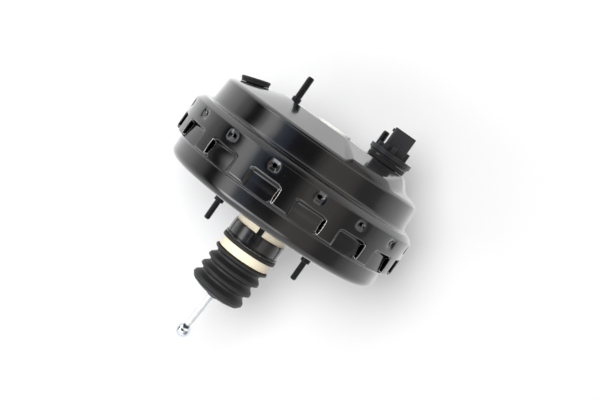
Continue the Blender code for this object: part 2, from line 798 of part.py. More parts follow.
for i in range(TERMINAL_COUNT):
    name = "sensor_terminal_" + str(i + 1)
    pin = add(name, box_mesh(name, (TERMINAL_LENGTH, 0.0022, 0.0008)), BRASS)
    pin.location = (
        socket_floor + SEAT_GAP + TERMINAL_LENGTH / 2,
        -SENSOR_RADIAL + (i - (TERMINAL_COUNT - 1) / 2) * TERMINAL_PITCH,
        SENSOR_Z,
    )

# Guide sleeve through the neck hole, with its flange inside the rear shell
SLEEVE_FRONT_X = NECK_COLLAR_DEPTH + SEAT_GAP + SLEEVE_FLANGE
SLEEVE_BORE = SLEEVE_RADIUS - SLEEVE_WALL
turned(
    "guide_sleeve",
    [
        (SLEEVE_FRONT_X, SLEEVE_FLANGE_RADIUS),
        (SLEEVE_FRONT_X - SLEEVE_FLANGE, SLEEVE_FLANGE_RADIUS),
        (SLEEVE_FRONT_X - SLEEVE_FLANGE, SLEEVE_RADIUS),
        (SLEEVE_END_X + 0.0008, SLEEVE_RADIUS),
        (SLEEVE_END_X, SLEEVE_RADIUS - 0.0008),
        (SLEEVE_END_X, SLEEVE_BORE),
        (SLEEVE_FRONT_X, SLEEVE_BORE),
    ],
    CREAM_NYLON,
    24,
)

# Neck seal and bearing, both between the sleeve and the valve body's tail
seal_inner = TAIL_RADIUS + SLIDE_GAP
seal_outer = SLEEVE_BORE - SEAT_GAP
seal_end = NECK_SEAL_X - NECK_SEAL_LENGTH
turned(
    "neck_seal",
    [
        (NECK_SEAL_X, seal_outer),
        (seal_end, seal_outer),
        (seal_end, seal_inner + 0.0006),
        (seal_end + 0.0022, seal_inner),
        (NECK_SEAL_X, seal_inner + 0.0014),
    ],
    BLACK_RUBBER,
    24,
)
bearing_front = seal_end - SEAT_GAP
turned(
    "neck_bearing",
    [
        (bearing_front, seal_outer),
        (bearing_front - BEARING_LENGTH, seal_outer),
        (bearing_front - BEARING_LENGTH, seal_inner),
        (bearing_front, seal_inner),
    ],
    WHITE_NYLON,
    24,
)

# Bulkhead collar: two lugs each side, a locating finger, and a flange behind them
collar_inner = SLEEVE_RADIUS + SEAT_GAP
bulkhead_collar = turned(
    "bulkhead_collar",
    [
        (COLLAR_FRONT_X, LUG_RADIUS - 0.0008),
        (COLLAR_FRONT_X - 0.0008, LUG_RADIUS),
        (COLLAR_LUG_END_X, LUG_RADIUS),
        (COLLAR_LUG_END_X, COLLAR_RADIUS),
        (COLLAR_LUG_END_X - 0.0012, COLLAR_RADIUS),
        (COLLAR_LUG_END_X - 0.0012, LUG_RADIUS),
        (COLLAR_END_X, LUG_RADIUS),
        (COLLAR_END_X, collar_inner),
        (COLLAR_FRONT_X, collar_inner),
    ],
    BLACK_PLASTIC,
    24,
)
LUG_GAPS = [(-12, 8), (80, 100), (168, 188), (260, 280)]
lug_length = COLLAR_FRONT_X - COLLAR_LUG_END_X
for start_deg, end_deg in LUG_GAPS:
    middle = math.radians((start_deg + end_deg) / 2)
    width = math.radians(end_deg - start_deg) * LUG_RADIUS
    gap_place = (
        Matrix.Rotation(-middle, 4, "X")
        @ Matrix.Translation((COLLAR_LUG_END_X + lug_length / 2, 0, COLLAR_RADIUS + LUG_RISE * 4))
    )
    gap = cutter(
        "lug_gap", box_mesh("lug_gap", (lug_length + 0.002, width, LUG_RISE * 8)), gap_place
    )
    gap.location.x += 0.001
    boolean(bulkhead_collar, gap, "DIFFERENCE")
finger_length = COLLAR_FINGER_X - COLLAR_FRONT_X + 0.004
finger = cutter(
    "collar_finger",
    box_mesh("collar_finger", (finger_length, COLLAR_FINGER_WIDTH, 0.0014)),
    Matrix.Translation(
        (COLLAR_FINGER_X - finger_length / 2, 0.0, collar_inner + 0.0009)
    ),
)
boolean(bulkhead_collar, finger, "UNION")
seal_front = COLLAR_END_X - SEAT_GAP
turned(
    "bulkhead_seal",
    [
        (seal_front, SEAL_RING_RADIUS - 0.0010),
        (seal_front - 0.0010, SEAL_RING_RADIUS),
        (seal_front - SEAL_RING_LENGTH, SEAL_RING_RADIUS),
        (seal_front - SEAL_RING_LENGTH, collar_inner),
        (seal_front, collar_inner),
    ],
    BLACK_RUBBER,
    24,
)

# Valve body: hub, flange and tail in one moulding, bored for the plunger
plunger_bore = PLUNGER_RADIUS + SLIDE_GAP
disc_bore = DISC_RADIUS + SEAT_GAP
valve_body = turned(
    "valve_body",
    [
        (NOSE_END_X, NOSE_RADIUS - 0.0008),
        (NOSE_END_X - 0.0008, NOSE_RADIUS),
        (FLANGE_X + FLANGE_THICKNESS, NOSE_RADIUS),
        (FLANGE_X + FLANGE_THICKNESS, FLANGE_RADIUS),
        (FLANGE_X, FLANGE_RADIUS),
        (FLANGE_X, HUB_RADIUS),
        (BEAD_GROOVE_X + BEAD_GROOVE_WIDTH, HUB_RADIUS),
        (BEAD_GROOVE_X + BEAD_GROOVE_WIDTH, BEAD_GROOVE_RADIUS),
        (BEAD_GROOVE_X, BEAD_GROOVE_RADIUS),
        (BEAD_GROOVE_X, HUB_RADIUS),
        (HUB_REAR_X, HUB_RADIUS),
        (HUB_REAR_X, TAIL_RADIUS),
        (TAIL_END_X, TAIL_RADIUS),
        (TAIL_END_X, CHAMBER_RADIUS),
        (CHAMBER_FRONT_X, CHAMBER_RADIUS),
        (CHAMBER_FRONT_X, POPPET_FACE_RADIUS - 0.0004),
        (CHAMBER_FRONT_X - 0.0030, POPPET_FACE_RADIUS - 0.0010),
        (CHAMBER_FRONT_X - 0.0030, POPPET_FACE_RADIUS - 0.0024),
        (CHAMBER_FRONT_X, POPPET_FACE_RADIUS - 0.0030),
        (CHAMBER_FRONT_X, plunger_bore),
        (DISC_SEAT_X, plunger_bore),
        (DISC_SEAT_X, disc_bore),
        (NOSE_END_X, disc_bore),
    ],
    PHENOLIC,
    16,
)
for i in range(PASSAGE_COUNT):
    angle = math.tau * (i + 0.5) / PASSAGE_COUNT
    passage = cutter(
        "vacuum_passage",
        cylinder_mesh("vacuum_passage", PASSAGE_RADIUS, 0.080, 8),
        along_x(
            (NOSE_END_X + CHAMBER_FRONT_X) / 2,
            PASSAGE_RADIAL * math.cos(angle),
            PASSAGE_RADIAL * math.sin(angle),
        ),
    )
    boolean(valve_body, passage, "DIFFERENCE")
key_slot = cutter(
    "key_slot",
    box_mesh("key_slot", (KEY_THICKNESS + 2 * SLIDE_GAP, KEY_SLOT_WIDTH, 0.060)),
    Matrix.Translation((KEY_X + KEY_THICKNESS / 2, 0, 0.030 - PLUNGER_RADIUS - 0.0030)),
)
boolean(valve_body, key_slot, "DIFFERENCE")

# Valve key: a forked plate through the slot, round the plunger's waist
key_low = -PLUNGER_RADIUS - 0.0024
key_middle = KEY_X + KEY_THICKNESS / 2
valve_key = add(
    "valve_key", box_mesh("valve_key", (KEY_THICKNESS, KEY_WIDTH, KEY_REACH - key_low)), ZINC
)
valve_key.location = (key_middle, 0, (KEY_REACH + key_low) / 2)
fork = cutter(
    "key_fork",
    box_mesh("key_fork", (0.010, 2 * PLUNGER_WAIST + 0.0008, 0.040)),
    Matrix.Translation((key_middle, 0, PLUNGER_WAIST + 0.0004 - 0.020)),
)
boolean(valve_key, fork, "DIFFERENCE")

# Diaphragm plate, behind the valve body's flange
plate_front = FLANGE_X - SEAT_GAP
plate_path = [
    (PLATE_RIM_X - PLATE_SHEET, PLATE_RADIUS),
    (PLATE_DISH_X, PLATE_RADIUS - 0.0050),
    (PLATE_DISH_X, 0.0540),
    (plate_front - PLATE_SHEET, 0.0420),
    (plate_front - PLATE_SHEET, HUB_RADIUS + SEAT_GAP),
]
sheet("diaphragm_plate", plate_path, PLATE_SHEET, PLATE_STEEL, 24)

# Diaphragm: bead in the crimp, one rolling fold, then down the plate to the hub's groove
bead_front_x = RIM_X + REAR_SHEET + SEAT_GAP + BEAD_HEIGHT
wall_inner = REAR_WALL_RADIUS - REAR_SHEET
back = DIAPHRAGM_WALL + SEAT_GAP
diaphragm_path = [
    (RIM_X + REAR_SHEET + SEAT_GAP, RIM_RADIUS - 0.0010),
    (RIM_X + REAR_SHEET + SEAT_GAP, wall_inner - 0.0012),
    (RIM_X - 0.0060, wall_inner - 0.0022),
    (PLATE_DISH_X + 0.0035, wall_inner - 0.0034),
    (PLATE_DISH_X - 0.0007, wall_inner - 0.0080),
    (PLATE_DISH_X - back, PLATE_RADIUS - 0.0030),
    (PLATE_DISH_X - back, 0.0534),
    (BEAD_GROOVE_X + 0.0036, 0.0420),
    (BEAD_GROOVE_X + 0.0006, 0.0330),
    (BEAD_GROOVE_X + 0.0006, BEAD_GROOVE_RADIUS + SEAT_GAP),
]
bead = [
    (bead_front_x - 0.0022, RIM_RADIUS - 0.0004),
    (bead_front_x - 0.0006, RIM_RADIUS - 0.0004),
    (bead_front_x, RIM_RADIUS - 0.0012),
    (bead_front_x, RIM_RADIUS - 0.0038),
    (bead_front_x - 0.0012, RIM_RADIUS - 0.0046),
]
inner_path = inset_path(diaphragm_path, DIAPHRAGM_WALL)[1:]
turned("diaphragm", bead[:1] + diaphragm_path + inner_path[::-1] + bead[:0:-1], BLACK_RUBBER, 16)

# Reaction disc, output rod and the cap that keeps the rod's head in the nose
disc_rear = DISC_SEAT_X + SEAT_GAP
turned(
    "reaction_disc",
    [
        (disc_rear + DISC_THICKNESS, 0),
        (disc_rear + DISC_THICKNESS, DISC_RADIUS),
        (disc_rear, DISC_RADIUS),
        (disc_rear, 0),
    ],
    BLACK_RUBBER,
    16,
)
head_rear = disc_rear + DISC_THICKNESS + SEAT_GAP
head_front = head_rear + ROD_HEAD_THICKNESS
turned(
    "output_rod",
    [(OUTPUT_ROD_END_X, 0)]
    + arc(OUTPUT_ROD_END_X - 0.0040, OUTPUT_ROD_RADIUS - 0.0040, 0.0040, 78, 0, 3)
    + [
        (head_front + 0.0030, OUTPUT_ROD_RADIUS),
        (head_front, OUTPUT_ROD_RADIUS + 0.0015),
        (head_front, DISC_RADIUS),
        (head_rear, DISC_RADIUS),
        (head_rear, 0),
    ],
    ZINC,
    16,
)
cap_x = head_front + SEAT_GAP + RETAINER_SHEET
cap_radius = NOSE_RADIUS + SEAT_GAP + RETAINER_SHEET
turned(
    "output_rod_retainer",
    [
        (cap_x, cap_radius),
        (FLANGE_X + FLANGE_THICKNESS + SEAT_GAP, cap_radius),
        (FLANGE_X + FLANGE_THICKNESS + SEAT_GAP, cap_radius - RETAINER_SHEET),
        (cap_x - RETAINER_SHEET, cap_radius - RETAINER_SHEET),
        (cap_x - RETAINER_SHEET, RETAINER_HOLE_RADIUS),
        (cap_x, RETAINER_HOLE_RADIUS),
    ],
    PLATE_STEEL,
    24,
)

# Valve plunger: nose, waist for the key, valve seat, and the socket for the rod's ball
socket_radius = INNER_BALL_RADIUS + SLIDE_GAP
waist_front = KEY_X + KEY_THICKNESS + SLIDE_GAP
waist_rear = KEY_X - KEY_TRAVEL
socket_arc = arc(PIVOT_X, 0, socket_radius, -SOCKET_LIP_DEPTH / socket_radius * 55, 88, 6)
plunger_end = socket_arc[0][0]
turned(
    "valve_plunger",
    [
        (PLUNGER_FRONT_X, 0),
        (PLUNGER_FRONT_X, PLUNGER_RADIUS),
        (waist_front, PLUNGER_RADIUS),
        (waist_front, PLUNGER_WAIST),
        (waist_rear, PLUNGER_WAIST),
        (waist_rear, PLUNGER_RADIUS),
        (PLUNGER_SEAT_X, PLUNGER_RADIUS),
        (PLUNGER_SEAT_X, PLUNGER_SEAT_RADIUS),
        (PLUNGER_SEAT_X - PLUNGER_SEAT_THICKNESS, PLUNGER_SEAT_RADIUS),
        (PLUNGER_SEAT_X - PLUNGER_SEAT_THICKNESS, PLUNGER_SOCKET_RADIUS),
        (plunger_end, PLUNGER_SOCKET_RADIUS),
    ]
    + socket_arc
    + [(PIVOT_X + socket_radius, 0)],
    ZINC,
    12,
)

# Poppet valve: a moulded ring and bellows clamped by its retainer in the tail
poppet_face_x = PLUNGER_SEAT_X - PLUNGER_SEAT_THICKNESS - SEAT_GAP
turned(
    "poppet_valve",
    [
        (poppet_face_x, POPPET_FACE_RADIUS),
        (poppet_face_x - 0.0025, POPPET_FACE_RADIUS),
        (poppet_face_x - 0.0060, POPPET_HOLE_RADIUS + POPPET_WALL + 0.0022),
        (poppet_face_x - 0.0100, POPPET_FACE_RADIUS + 0.0004),
        (POPPET_END_X + 0.0032, POPPET_FACE_RADIUS + 0.0012),
        (POPPET_END_X + 0.0032, CHAMBER_RADIUS - SEAT_GAP),
        (POPPET_END_X, CHAMBER_RADIUS - SEAT_GAP),
        (POPPET_END_X, POPPET_FACE_RADIUS - 0.0003),
        (poppet_face_x - 0.0100, POPPET_FACE_RADIUS + 0.0004 - POPPET_WALL),
        (poppet_face_x - 0.0065, POPPET_HOLE_RADIUS + 0.0008),
        (poppet_face_x - 0.0030, POPPET_HOLE_RADIUS + 0.0004),
        (poppet_face_x, POPPET_HOLE_RADIUS),
    ],
    BLACK_RUBBER,
    16,
)
retainer_front = POPPET_END_X - SEAT_GAP
retainer_radius = CHAMBER_RADIUS - SEAT_GAP
turned(
    "poppet_retainer",
    [
        (retainer_front, retainer_radius),
        (RETAINER_END_X, retainer_radius),
        (RETAINER_END_X, retainer_radius - RETAINER_WALL),
        (retainer_front - RETAINER_WALL, retainer_radius - RETAINER_WALL),
        (retainer_front - RETAINER_WALL, RETAINER_LIP_RADIUS),
        (retainer_front, RETAINER_LIP_RADIUS),
    ],
    PLATE_STEEL,
    16,
)
turned(
    "air_filter",
    [
        (RETAINER_END_X - SEAT_GAP, retainer_radius),
        (RETAINER_END_X - SEAT_GAP - FILTER_LENGTH, retainer_radius),
        (RETAINER_END_X - SEAT_GAP - FILTER_LENGTH, 0.0085),
        (RETAINER_END_X - SEAT_GAP, 0.0085),
    ],
    FOAM,
    16,
)

# Springs
coil(
    "return_spring",
    FLANGE_X + FLANGE_THICKNESS + SEAT_GAP + RETURN_WIRE,
    HEAD_FACE_X - SEAT_GAP - RETURN_WIRE,
    RETURN_REAR_RADIUS,
    RETURN_FRONT_RADIUS,
    RETURN_TURNS,
    RETURN_WIRE,
    SPRING_STEEL,
    9,
)
coil(
    "poppet_spring",
    poppet_face_x - 0.0105,
    retainer_front + SEAT_GAP + POPPET_WIRE,
    POPPET_COIL_RADIUS - 0.0004,
    POPPET_COIL_RADIUS - 0.0004,
    POPPET_TURNS,
    POPPET_WIRE,
    SPRING_STEEL,
    8,
)
coil(
    "rod_return_spring",
    retainer_front - RETAINER_WALL - SEAT_GAP - ROD_WIRE,
    SPRING_SHOULDER_X + 0.0016,
    ROD_COIL_FRONT_RADIUS,
    ROD_COIL_REAR_RADIUS,
    ROD_SPRING_TURNS,
    ROD_WIRE,
    SPRING_STEEL,
    8,
)

# Push rod, turned about its own leaning axis through the pivot
shoulder = SPRING_SHOULDER_X - PIVOT_X
pedal_ball = (PEDAL_BALL_X - PIVOT_X) / math.cos(math.radians(ROD_LEAN_DEG))
neck_share = math.degrees(math.asin(ROD_NECK_RADIUS / INNER_BALL_RADIUS))
shank_share = math.degrees(math.asin(ROD_RADIUS / PEDAL_BALL_RADIUS))
turned(
    "push_rod",
    [(INNER_BALL_RADIUS, 0)]
    + arc(0, 0, INNER_BALL_RADIUS, 75, neck_share - 90, 7)
    + [
        (-INNER_BALL_RADIUS - 0.0030, ROD_NECK_RADIUS),
        (-INNER_BALL_RADIUS - 0.0060, ROD_RADIUS),
        (shoulder, ROD_RADIUS),
        (shoulder, SPRING_SHOULDER_RADIUS),
        (shoulder - 0.0012, SPRING_SHOULDER_RADIUS),
        (shoulder - 0.0012, ROD_RADIUS),
    ]
    + arc(pedal_ball, 0, PEDAL_BALL_RADIUS, 90 - shank_share, -75, 7)
    + [(pedal_ball - PEDAL_BALL_RADIUS, 0)],
    ZINC,
    12,
    ROD_PIVOT,
)


def boot_path():
    """The boot's outer line: ridges and valleys, then the tapered end round the rod."""
    points = [
        (BOOT_FRONT_X, SLEEVE_BORE - 0.0006),
        (BOOT_FRONT_X, BOOT_RIDGE_RADIUS - 0.0010),
        (BOOT_FRONT_X - 0.0012, BOOT_RIDGE_RADIUS),
        (BOOT_FRONT_X - 0.0030, BOOT_RIDGE_RADIUS - 0.0006),
    ]
    for i in range(1, BOOT_RIDGES):
        ridge = BOOT_FRONT_X - 0.0016 - BOOT_PITCH * i
        points.append((ridge + 0.62 * BOOT_PITCH, BOOT_VALLEY_RADIUS))
        points.append((ridge + 0.0014, BOOT_RIDGE_RADIUS - 0.0002))
        points.append((ridge - 0.0012, BOOT_RIDGE_RADIUS - 0.0002))
    points += [
        (spline_at(BOOT_END_X, ridge, 0.45), BOOT_VALLEY_RADIUS - 0.0008),
        (spline_at(BOOT_END_X, ridge, 0.12), 0.0160),
        (BOOT_END_X, 0.0078),
        (BOOT_END_X - 0.0030, ROD_RADIUS + SEAT_GAP + BOOT_WALL + 0.0002),
    ]
    return points


def lean_boot(mesh):
    """Bends the boot progressively, so that its end follows the leaning rod."""
    slope_end = math.tan(math.radians(ROD_LEAN_DEG))
    length = BOOT_FRONT_X - BOOT_END_X
    end_offset = slope_end * (PIVOT_X - BOOT_END_X)
    for vertex in mesh.vertices:
        x, y, z = vertex.co
        share = max(0, min(1, (BOOT_FRONT_X - x) / length))
        ease = share * share * (3 - 2 * share)
        slope = slope_end * ease
        offset = end_offset * (0.45 * share + 0.55 * share * share)
        past = max(0, BOOT_END_X - x)
        vertex.co = (x + y * math.sin(slope), y + offset + past * slope_end, z)


# Boot: turned round the axis, bent after the rod, then given its wall
boot_line = add("boot_line", profile_mesh("boot_line", boot_path(), False), None, AXIS, CUTTERS)
screw(boot_line, 15)
bpy.context.view_layer.update()
turned_line = boot_line.evaluated_get(bpy.context.evaluated_depsgraph_get())
boot_mesh = bpy.data.meshes.new_from_object(turned_line)
boot_mesh.transform(boot_line.matrix_world)
bpy.data.objects.remove(boot_line, do_unlink=True)
lean_boot(boot_mesh)
boot = add("boot", boot_mesh, BLACK_RUBBER)
boot_wall = boot.modifiers.new("wall", "SOLIDIFY")
boot_wall.thickness = BOOT_WALL
boot_wall.offset = -1
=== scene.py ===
import math

import bmesh
import bpy
from mathutils import Matrix, Vector


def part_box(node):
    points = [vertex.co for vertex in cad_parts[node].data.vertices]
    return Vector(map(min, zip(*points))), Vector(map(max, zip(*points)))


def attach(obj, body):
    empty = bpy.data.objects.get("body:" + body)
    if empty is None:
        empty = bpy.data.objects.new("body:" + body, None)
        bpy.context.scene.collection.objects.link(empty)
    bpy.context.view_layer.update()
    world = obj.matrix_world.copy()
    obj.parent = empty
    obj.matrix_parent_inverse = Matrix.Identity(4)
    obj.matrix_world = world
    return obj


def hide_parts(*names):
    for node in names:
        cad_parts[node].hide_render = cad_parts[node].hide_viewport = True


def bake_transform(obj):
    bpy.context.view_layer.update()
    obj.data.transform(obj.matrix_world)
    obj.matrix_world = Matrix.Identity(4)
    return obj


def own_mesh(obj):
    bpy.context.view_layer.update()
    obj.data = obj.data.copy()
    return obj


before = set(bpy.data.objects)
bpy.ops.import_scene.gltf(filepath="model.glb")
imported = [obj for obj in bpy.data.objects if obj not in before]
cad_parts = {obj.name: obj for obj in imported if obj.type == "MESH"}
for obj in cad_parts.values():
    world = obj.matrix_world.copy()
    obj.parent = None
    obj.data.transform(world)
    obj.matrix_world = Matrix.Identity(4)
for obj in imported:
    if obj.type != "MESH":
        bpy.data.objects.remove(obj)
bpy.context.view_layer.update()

# Front shell
# Deep-drawn steel sheet of 1.8 mm: plateau, cone, drum wall, ledge and a wide outer band.
# Its band is lanced and pressed in at sixteen pockets, which lock the rear shell's rim.


def colour(text):
    """An sRGB hex colour as linear red, green, blue and alpha."""
    channels = [int(text[i : i + 2], 16) / 255 for i in (1, 3, 5)]
    linear = [c / 12.92 if c < 0.04045 else ((c + 0.055) / 1.055) ** 2.4 for c in channels]
    return (*linear, 1.0)


def add_node(tree, kind, *values, operation=None, **named):
    """A shader node, its inputs set or linked in order, or by name with _ for a space."""
    node = tree.nodes.new(kind)
    if operation:
        node.operation = operation
    pairs = list(zip(node.inputs, values))
    pairs += [(node.inputs[name.replace("_", " ")], value) for name, value in named.items()]
    for socket, value in pairs:
        if isinstance(value, bpy.types.NodeSocket):
            tree.links.new(value, socket)
        else:
            socket.default_value = value
    return node


def material(
    name, base, roughness, metallic=0.0, grain=1.5, tint=None, spread=0.04, bump=0.0, coat=0.0
):
    """A finish whose colour, roughness and relief vary at a grain given in millimetres."""
    made = bpy.data.materials.new(name)
    made.use_nodes = True
    tree = made.node_tree
    shader = tree.nodes["Principled BSDF"]
    place = add_node(tree, "ShaderNodeTexCoord").outputs["Object"]
    noise = add_node(
        tree, "ShaderNodeTexNoise", Vector=place, Scale=1000 / grain, Detail=4.0, Roughness=0.6
    )
    broad = add_node(
        tree, "ShaderNodeTexNoise", Vector=place, Scale=1000 / (grain * 14), Detail=2.0
    )
    tints = add_node(tree, "ShaderNodeMix", Factor=broad.outputs["Fac"])
    tints.data_type = "RGBA"
    tints.inputs[6].default_value = colour(base)
    tints.inputs[7].default_value = colour(tint or base)
    tree.links.new(tints.outputs[2], shader.inputs["Base Color"])
    rough = add_node(
        tree,
        "ShaderNodeMapRange",
        Value=noise.outputs["Fac"],
        To_Min=max(0.0, roughness - spread),
        To_Max=min(1.0, roughness + spread),
    )
    tree.links.new(rough.outputs["Result"], shader.inputs["Roughness"])
    shader.inputs["Metallic"].default_value = metallic
    shader.inputs["Coat Weight"].default_value = coat
    shader.inputs["Coat Roughness"].default_value = 0.05
    if bump:
        relief = add_node(
            tree, "ShaderNodeBump", Height=noise.outputs["Fac"], Distance=bump / 1000, Strength=0.6
        )
        tree.links.new(relief.outputs["Normal"], shader.inputs["Normal"])
    return made


paint = material(
    "black gloss coat on pressed steel", "#070708", 0.15, grain=1.4, tint="#0A0909", coat=0.40
)
cut_steel = material("bare sheared steel edge", "#E2DED6", 0.42, metallic=1.0, grain=0.4)
thin_paint = material("thin coat on the lanced face", "#595A5C", 0.28, metallic=1.0, grain=0.4)

# Places and radii of the front in metres
PLATEAU_X = 0.1210
PLATEAU_RADIUS = 0.0640
CONE_FALL = 0.32
CONE_END_X = 0.1030
CONE_END_RADIUS = 0.1158
LEDGE_X = 0.0760
BAND_TOP_X = 0.0680
BAND_RADIUS = 0.13495
FRONT_SHEET = 0.0018
SENSOR_Y = -0.0647
SENSOR_Z = 0.0040
LOBE_RADIUS = 0.0417
LOBE_FALL = 0.23
LOBE_FLANK_DEG = 3
LOBE_END = 0.0889
LOBE_END_OVAL = 0.55
LOBE_END_ROUND = 0.007
LOBE_END_FALL = 2.4
LOBE_CREASE = 0.0006
LOBE_FOOT = 0.0034
LOBE_FOOT_RUN = 0.0100

# Heights on the band and arc distances round it in millimetres
ARC_RADIUS = 135.0
SLIT_START = 31.6
SLIT_END = 48.0
POCKET_TOP = 50.2
POCKET_HALF = 12.9
POCKET_CORNER = 5.5
POCKET_WALL = 4.2
POCKET_DEPTH = 4.6
POCKET_RISE = 1.6
POCKET_RISE_START = 46.0
POCKET_RISE_RUN = 14.0
WALL_START = 12.2
WALL_REACH = 5.85
SLIT_OPENING = 1.60
SLIT_TUCK = 0.6
SLIT_SPREAD = 0.7
BARE_INNER = 15.0
SLIT_INNER = 15.6
SLIT_OUTER = 18.2
BARE_OUTER = 18.8
DENT_DEPTH = 0.7
DENT_HALF = 8.0
DENT_RISE = 6.0
TONGUE_HALF = 4.5
TONGUE_FACE_HALF = 3.7
TONGUE_HOLE_HALF = 2.1
TONGUE_DEPTH = 1.7
TONGUE_START = 55.5
TONGUE_MIDDLE = 61
TONGUE_HOLE_START = 61.4
TONGUE_EDGE = 64
TONGUE_TOP = 68.2


def clamped(value):
    """The value kept within 0 and 1."""
    return max(0, min(1, value))


def eased(share):
    """A share from 0 to 1 with a soft start and end."""
    return share * share * (3 - 2 * share)


def soft_max(a, b, blend):
    """The higher of two values, with their meeting rounded over the blend width."""
    gap = max(0, blend - abs(a - b)) / blend
    return max(a, b) + gap * gap * blend / 4


def lobe_rise(y, z):
    """Height of the cone with the sensor's lobe on it, at a point of the front seen along X."""
    reach = math.hypot(SENSOR_Y, SENSOR_Z)
    along = (y * SENSOR_Y + z * SENSOR_Z) / reach
    across = abs(y * SENSOR_Z - z * SENSOR_Y) / reach
    taper = (PLATEAU_RADIUS - LOBE_RADIUS) / reach
    side = math.sqrt(1 - taper * taper)
    past_edge = math.degrees(math.atan2(across, along) - math.atan2(side, taper))
    step = clamped(0.5 - past_edge / LOBE_FLANK_DEG)
    outside = side * across + taper * along - PLATEAU_RADIUS
    beyond = math.hypot(along, LOBE_END_OVAL * across) - LOBE_END
    rolled = math.hypot(max(0, beyond), LOBE_END_ROUND) - LOBE_END_ROUND
    plane = PLATEAU_X - max(0, LOBE_FALL * outside) - LOBE_END_FALL * rolled
    cone = PLATEAU_X - CONE_FALL * (math.hypot(y, z) - PLATEAU_RADIUS)
    foot = LOBE_CREASE + LOBE_FOOT * clamped(beyond / LOBE_FOOT_RUN)
    return cone + (soft_max(plane, cone, foot) - cone) * eased(step)


def slit_share(x, sheared):
    """How far a pocket's slit is open at this height: 0 at its pointed ends, 1 at the middle."""
    if not sheared or not SLIT_START < x < SLIT_END:
        return 0
    return max(0, math.sin(math.pi * (x - SLIT_START) / (SLIT_END - SLIT_START))) ** 0.55


def pressed_in(across, x, sheared):
    """How far the band is pressed in, in mm, at an arc distance from a pocket's centre line."""
    share = slit_share(x, sheared)
    side = (abs(across) - POCKET_HALF) * (1 - share) - SLIT_TUCK * share
    top = (x - POCKET_TOP) * 1.15 + POCKET_CORNER
    outside = math.hypot(max(side, 0), max(top, 0)) + min(max(side, top), 0) - POCKET_CORNER
    depth = POCKET_DEPTH - POCKET_RISE * eased(clamped((POCKET_RISE_START - x) / POCKET_RISE_RUN))
    return depth * eased(clamped(-outside / POCKET_WALL))


def dented(across, x):
    """How far the band is drawn in round a lanced tongue, in mm, with the tongue's own step."""
    distance = (across / DENT_HALF) ** 2 + ((x - TONGUE_MIDDLE) / DENT_RISE) ** 2
    round_it = DENT_DEPTH * math.exp(-distance)
    beside = clamped((TONGUE_HALF - abs(across)) / 0.8)
    if x > TONGUE_EDGE:
        return round_it + DENT_DEPTH * beside * clamped((TONGUE_TOP - x) / 4.0)
    return round_it + TONGUE_DEPTH * beside * eased(clamped((x - TONGUE_START) / 6.0))


def rounded(corners, steps=4, closed=True):
    """Profile points (x, radius) with each corner (x, radius, rounding) turned into an arc."""
    points = []
    count = len(corners)
    for i, (x, r, size) in enumerate(corners):
        here = Vector((x, r))
        if size <= 0 or (not closed and i in (0, count - 1)):
            points.append((x, r))
            continue
        before = Vector(corners[i - 1][:2]) - here
        after = Vector(corners[(i + 1) % count][:2]) - here
        half = before.angle(after) / 2
        reach = min(size / math.tan(half), 0.49 * before.length, 0.49 * after.length)
        radius = reach * math.tan(half)
        inward = (before.normalized() + after.normalized()).normalized()
        middle = here + inward * radius / math.sin(half)
        start = here + before.normalized() * reach - middle
        end = here + after.normalized() * reach - middle
        first = math.atan2(start.y, start.x)
        turn = (math.atan2(end.y, end.x) - first + math.pi) % math.tau - math.pi
        for k in range(steps + 1):
            angle = first + turn * k / steps
            points.append((middle.x + radius * math.cos(angle), middle.y + radius * math.sin(angle)))
    return points


def shell_path():
    """The front shell's outer line from the bore to the crimp, in short steps."""
    corners = [
        (0.1125, 0.0210, 0),
        (PLATEAU_X, 0.0210, 0.0012),
        (PLATEAU_X, PLATEAU_RADIUS, 0.0080),
        (0.1049, 0.1144, 0.0008),
        (0.1020, 0.1183, 0.0036),
        (0.0758, 0.1205, 0.0050),
        (0.0748, 0.1285, 0.0040),
        (0.0688, BAND_RADIUS, 0.0018),
        (0.0297, BAND_RADIUS, 0.0028),
        (0.0297, 0.1284, 0),
    ]
    points = [corners[0][:2]]
    for target in rounded(corners, 5, closed=False)[1:]:
        start = Vector(points[-1])
        run = Vector(target) - start
        on_band = max(abs(target[1] - BAND_RADIUS), abs(start.y - BAND_RADIUS)) < 0.00002
        on_cone = start.y > 0.0600 and target[1] < 0.1150
        step = 0.0012 if on_band else 0.0015 if on_cone else 0.0090
        count = max(1, math.ceil(run.length / step))
        for k in range(1, count + 1):
            points.append(tuple(start + run * k / count))
    return points


def beside_slit(offset, share, sheared):
    """A mesh column's arc distance, moved aside where a slit opens between two columns."""
    far = abs(offset)
    if sheared and WALL_START < far <= SLIT_INNER:
        part = (far - WALL_START) / (SLIT_INNER - WALL_START)
        far = WALL_START + part * (WALL_REACH - SLIT_OPENING * share)
    elif far >= SLIT_OUTER:
        far += SLIT_SPREAD * share * max(0, 1 - (far - SLIT_OUTER) / 4.0)
    return math.copysign(far, offset)


def shell_point(x, r, centre, offset, sheared):
    """A point of the outer line on a column, pressed in on the band and raised at the lobe."""
    place = offset
    if x < BAND_TOP_X:
        height = x * 1000
        place = beside_slit(offset, slit_share(height, sheared), sheared)
        depth = pressed_in(place, height, sheared) if abs(place) < SLIT_OUTER else 0
        pressed = min(r, BAND_RADIUS - (depth + dented(offset, height)) / 1000)
    else:
        pressed = r
    angle = centre + place / ARC_RADIUS
    if PLATEAU_RADIUS < r < CONE_END_RADIUS and x > CONE_END_X:
        x = max(x, lobe_rise(r * math.sin(angle), r * math.cos(angle)))
    return (x, pressed * math.sin(angle), pressed * math.cos(angle))


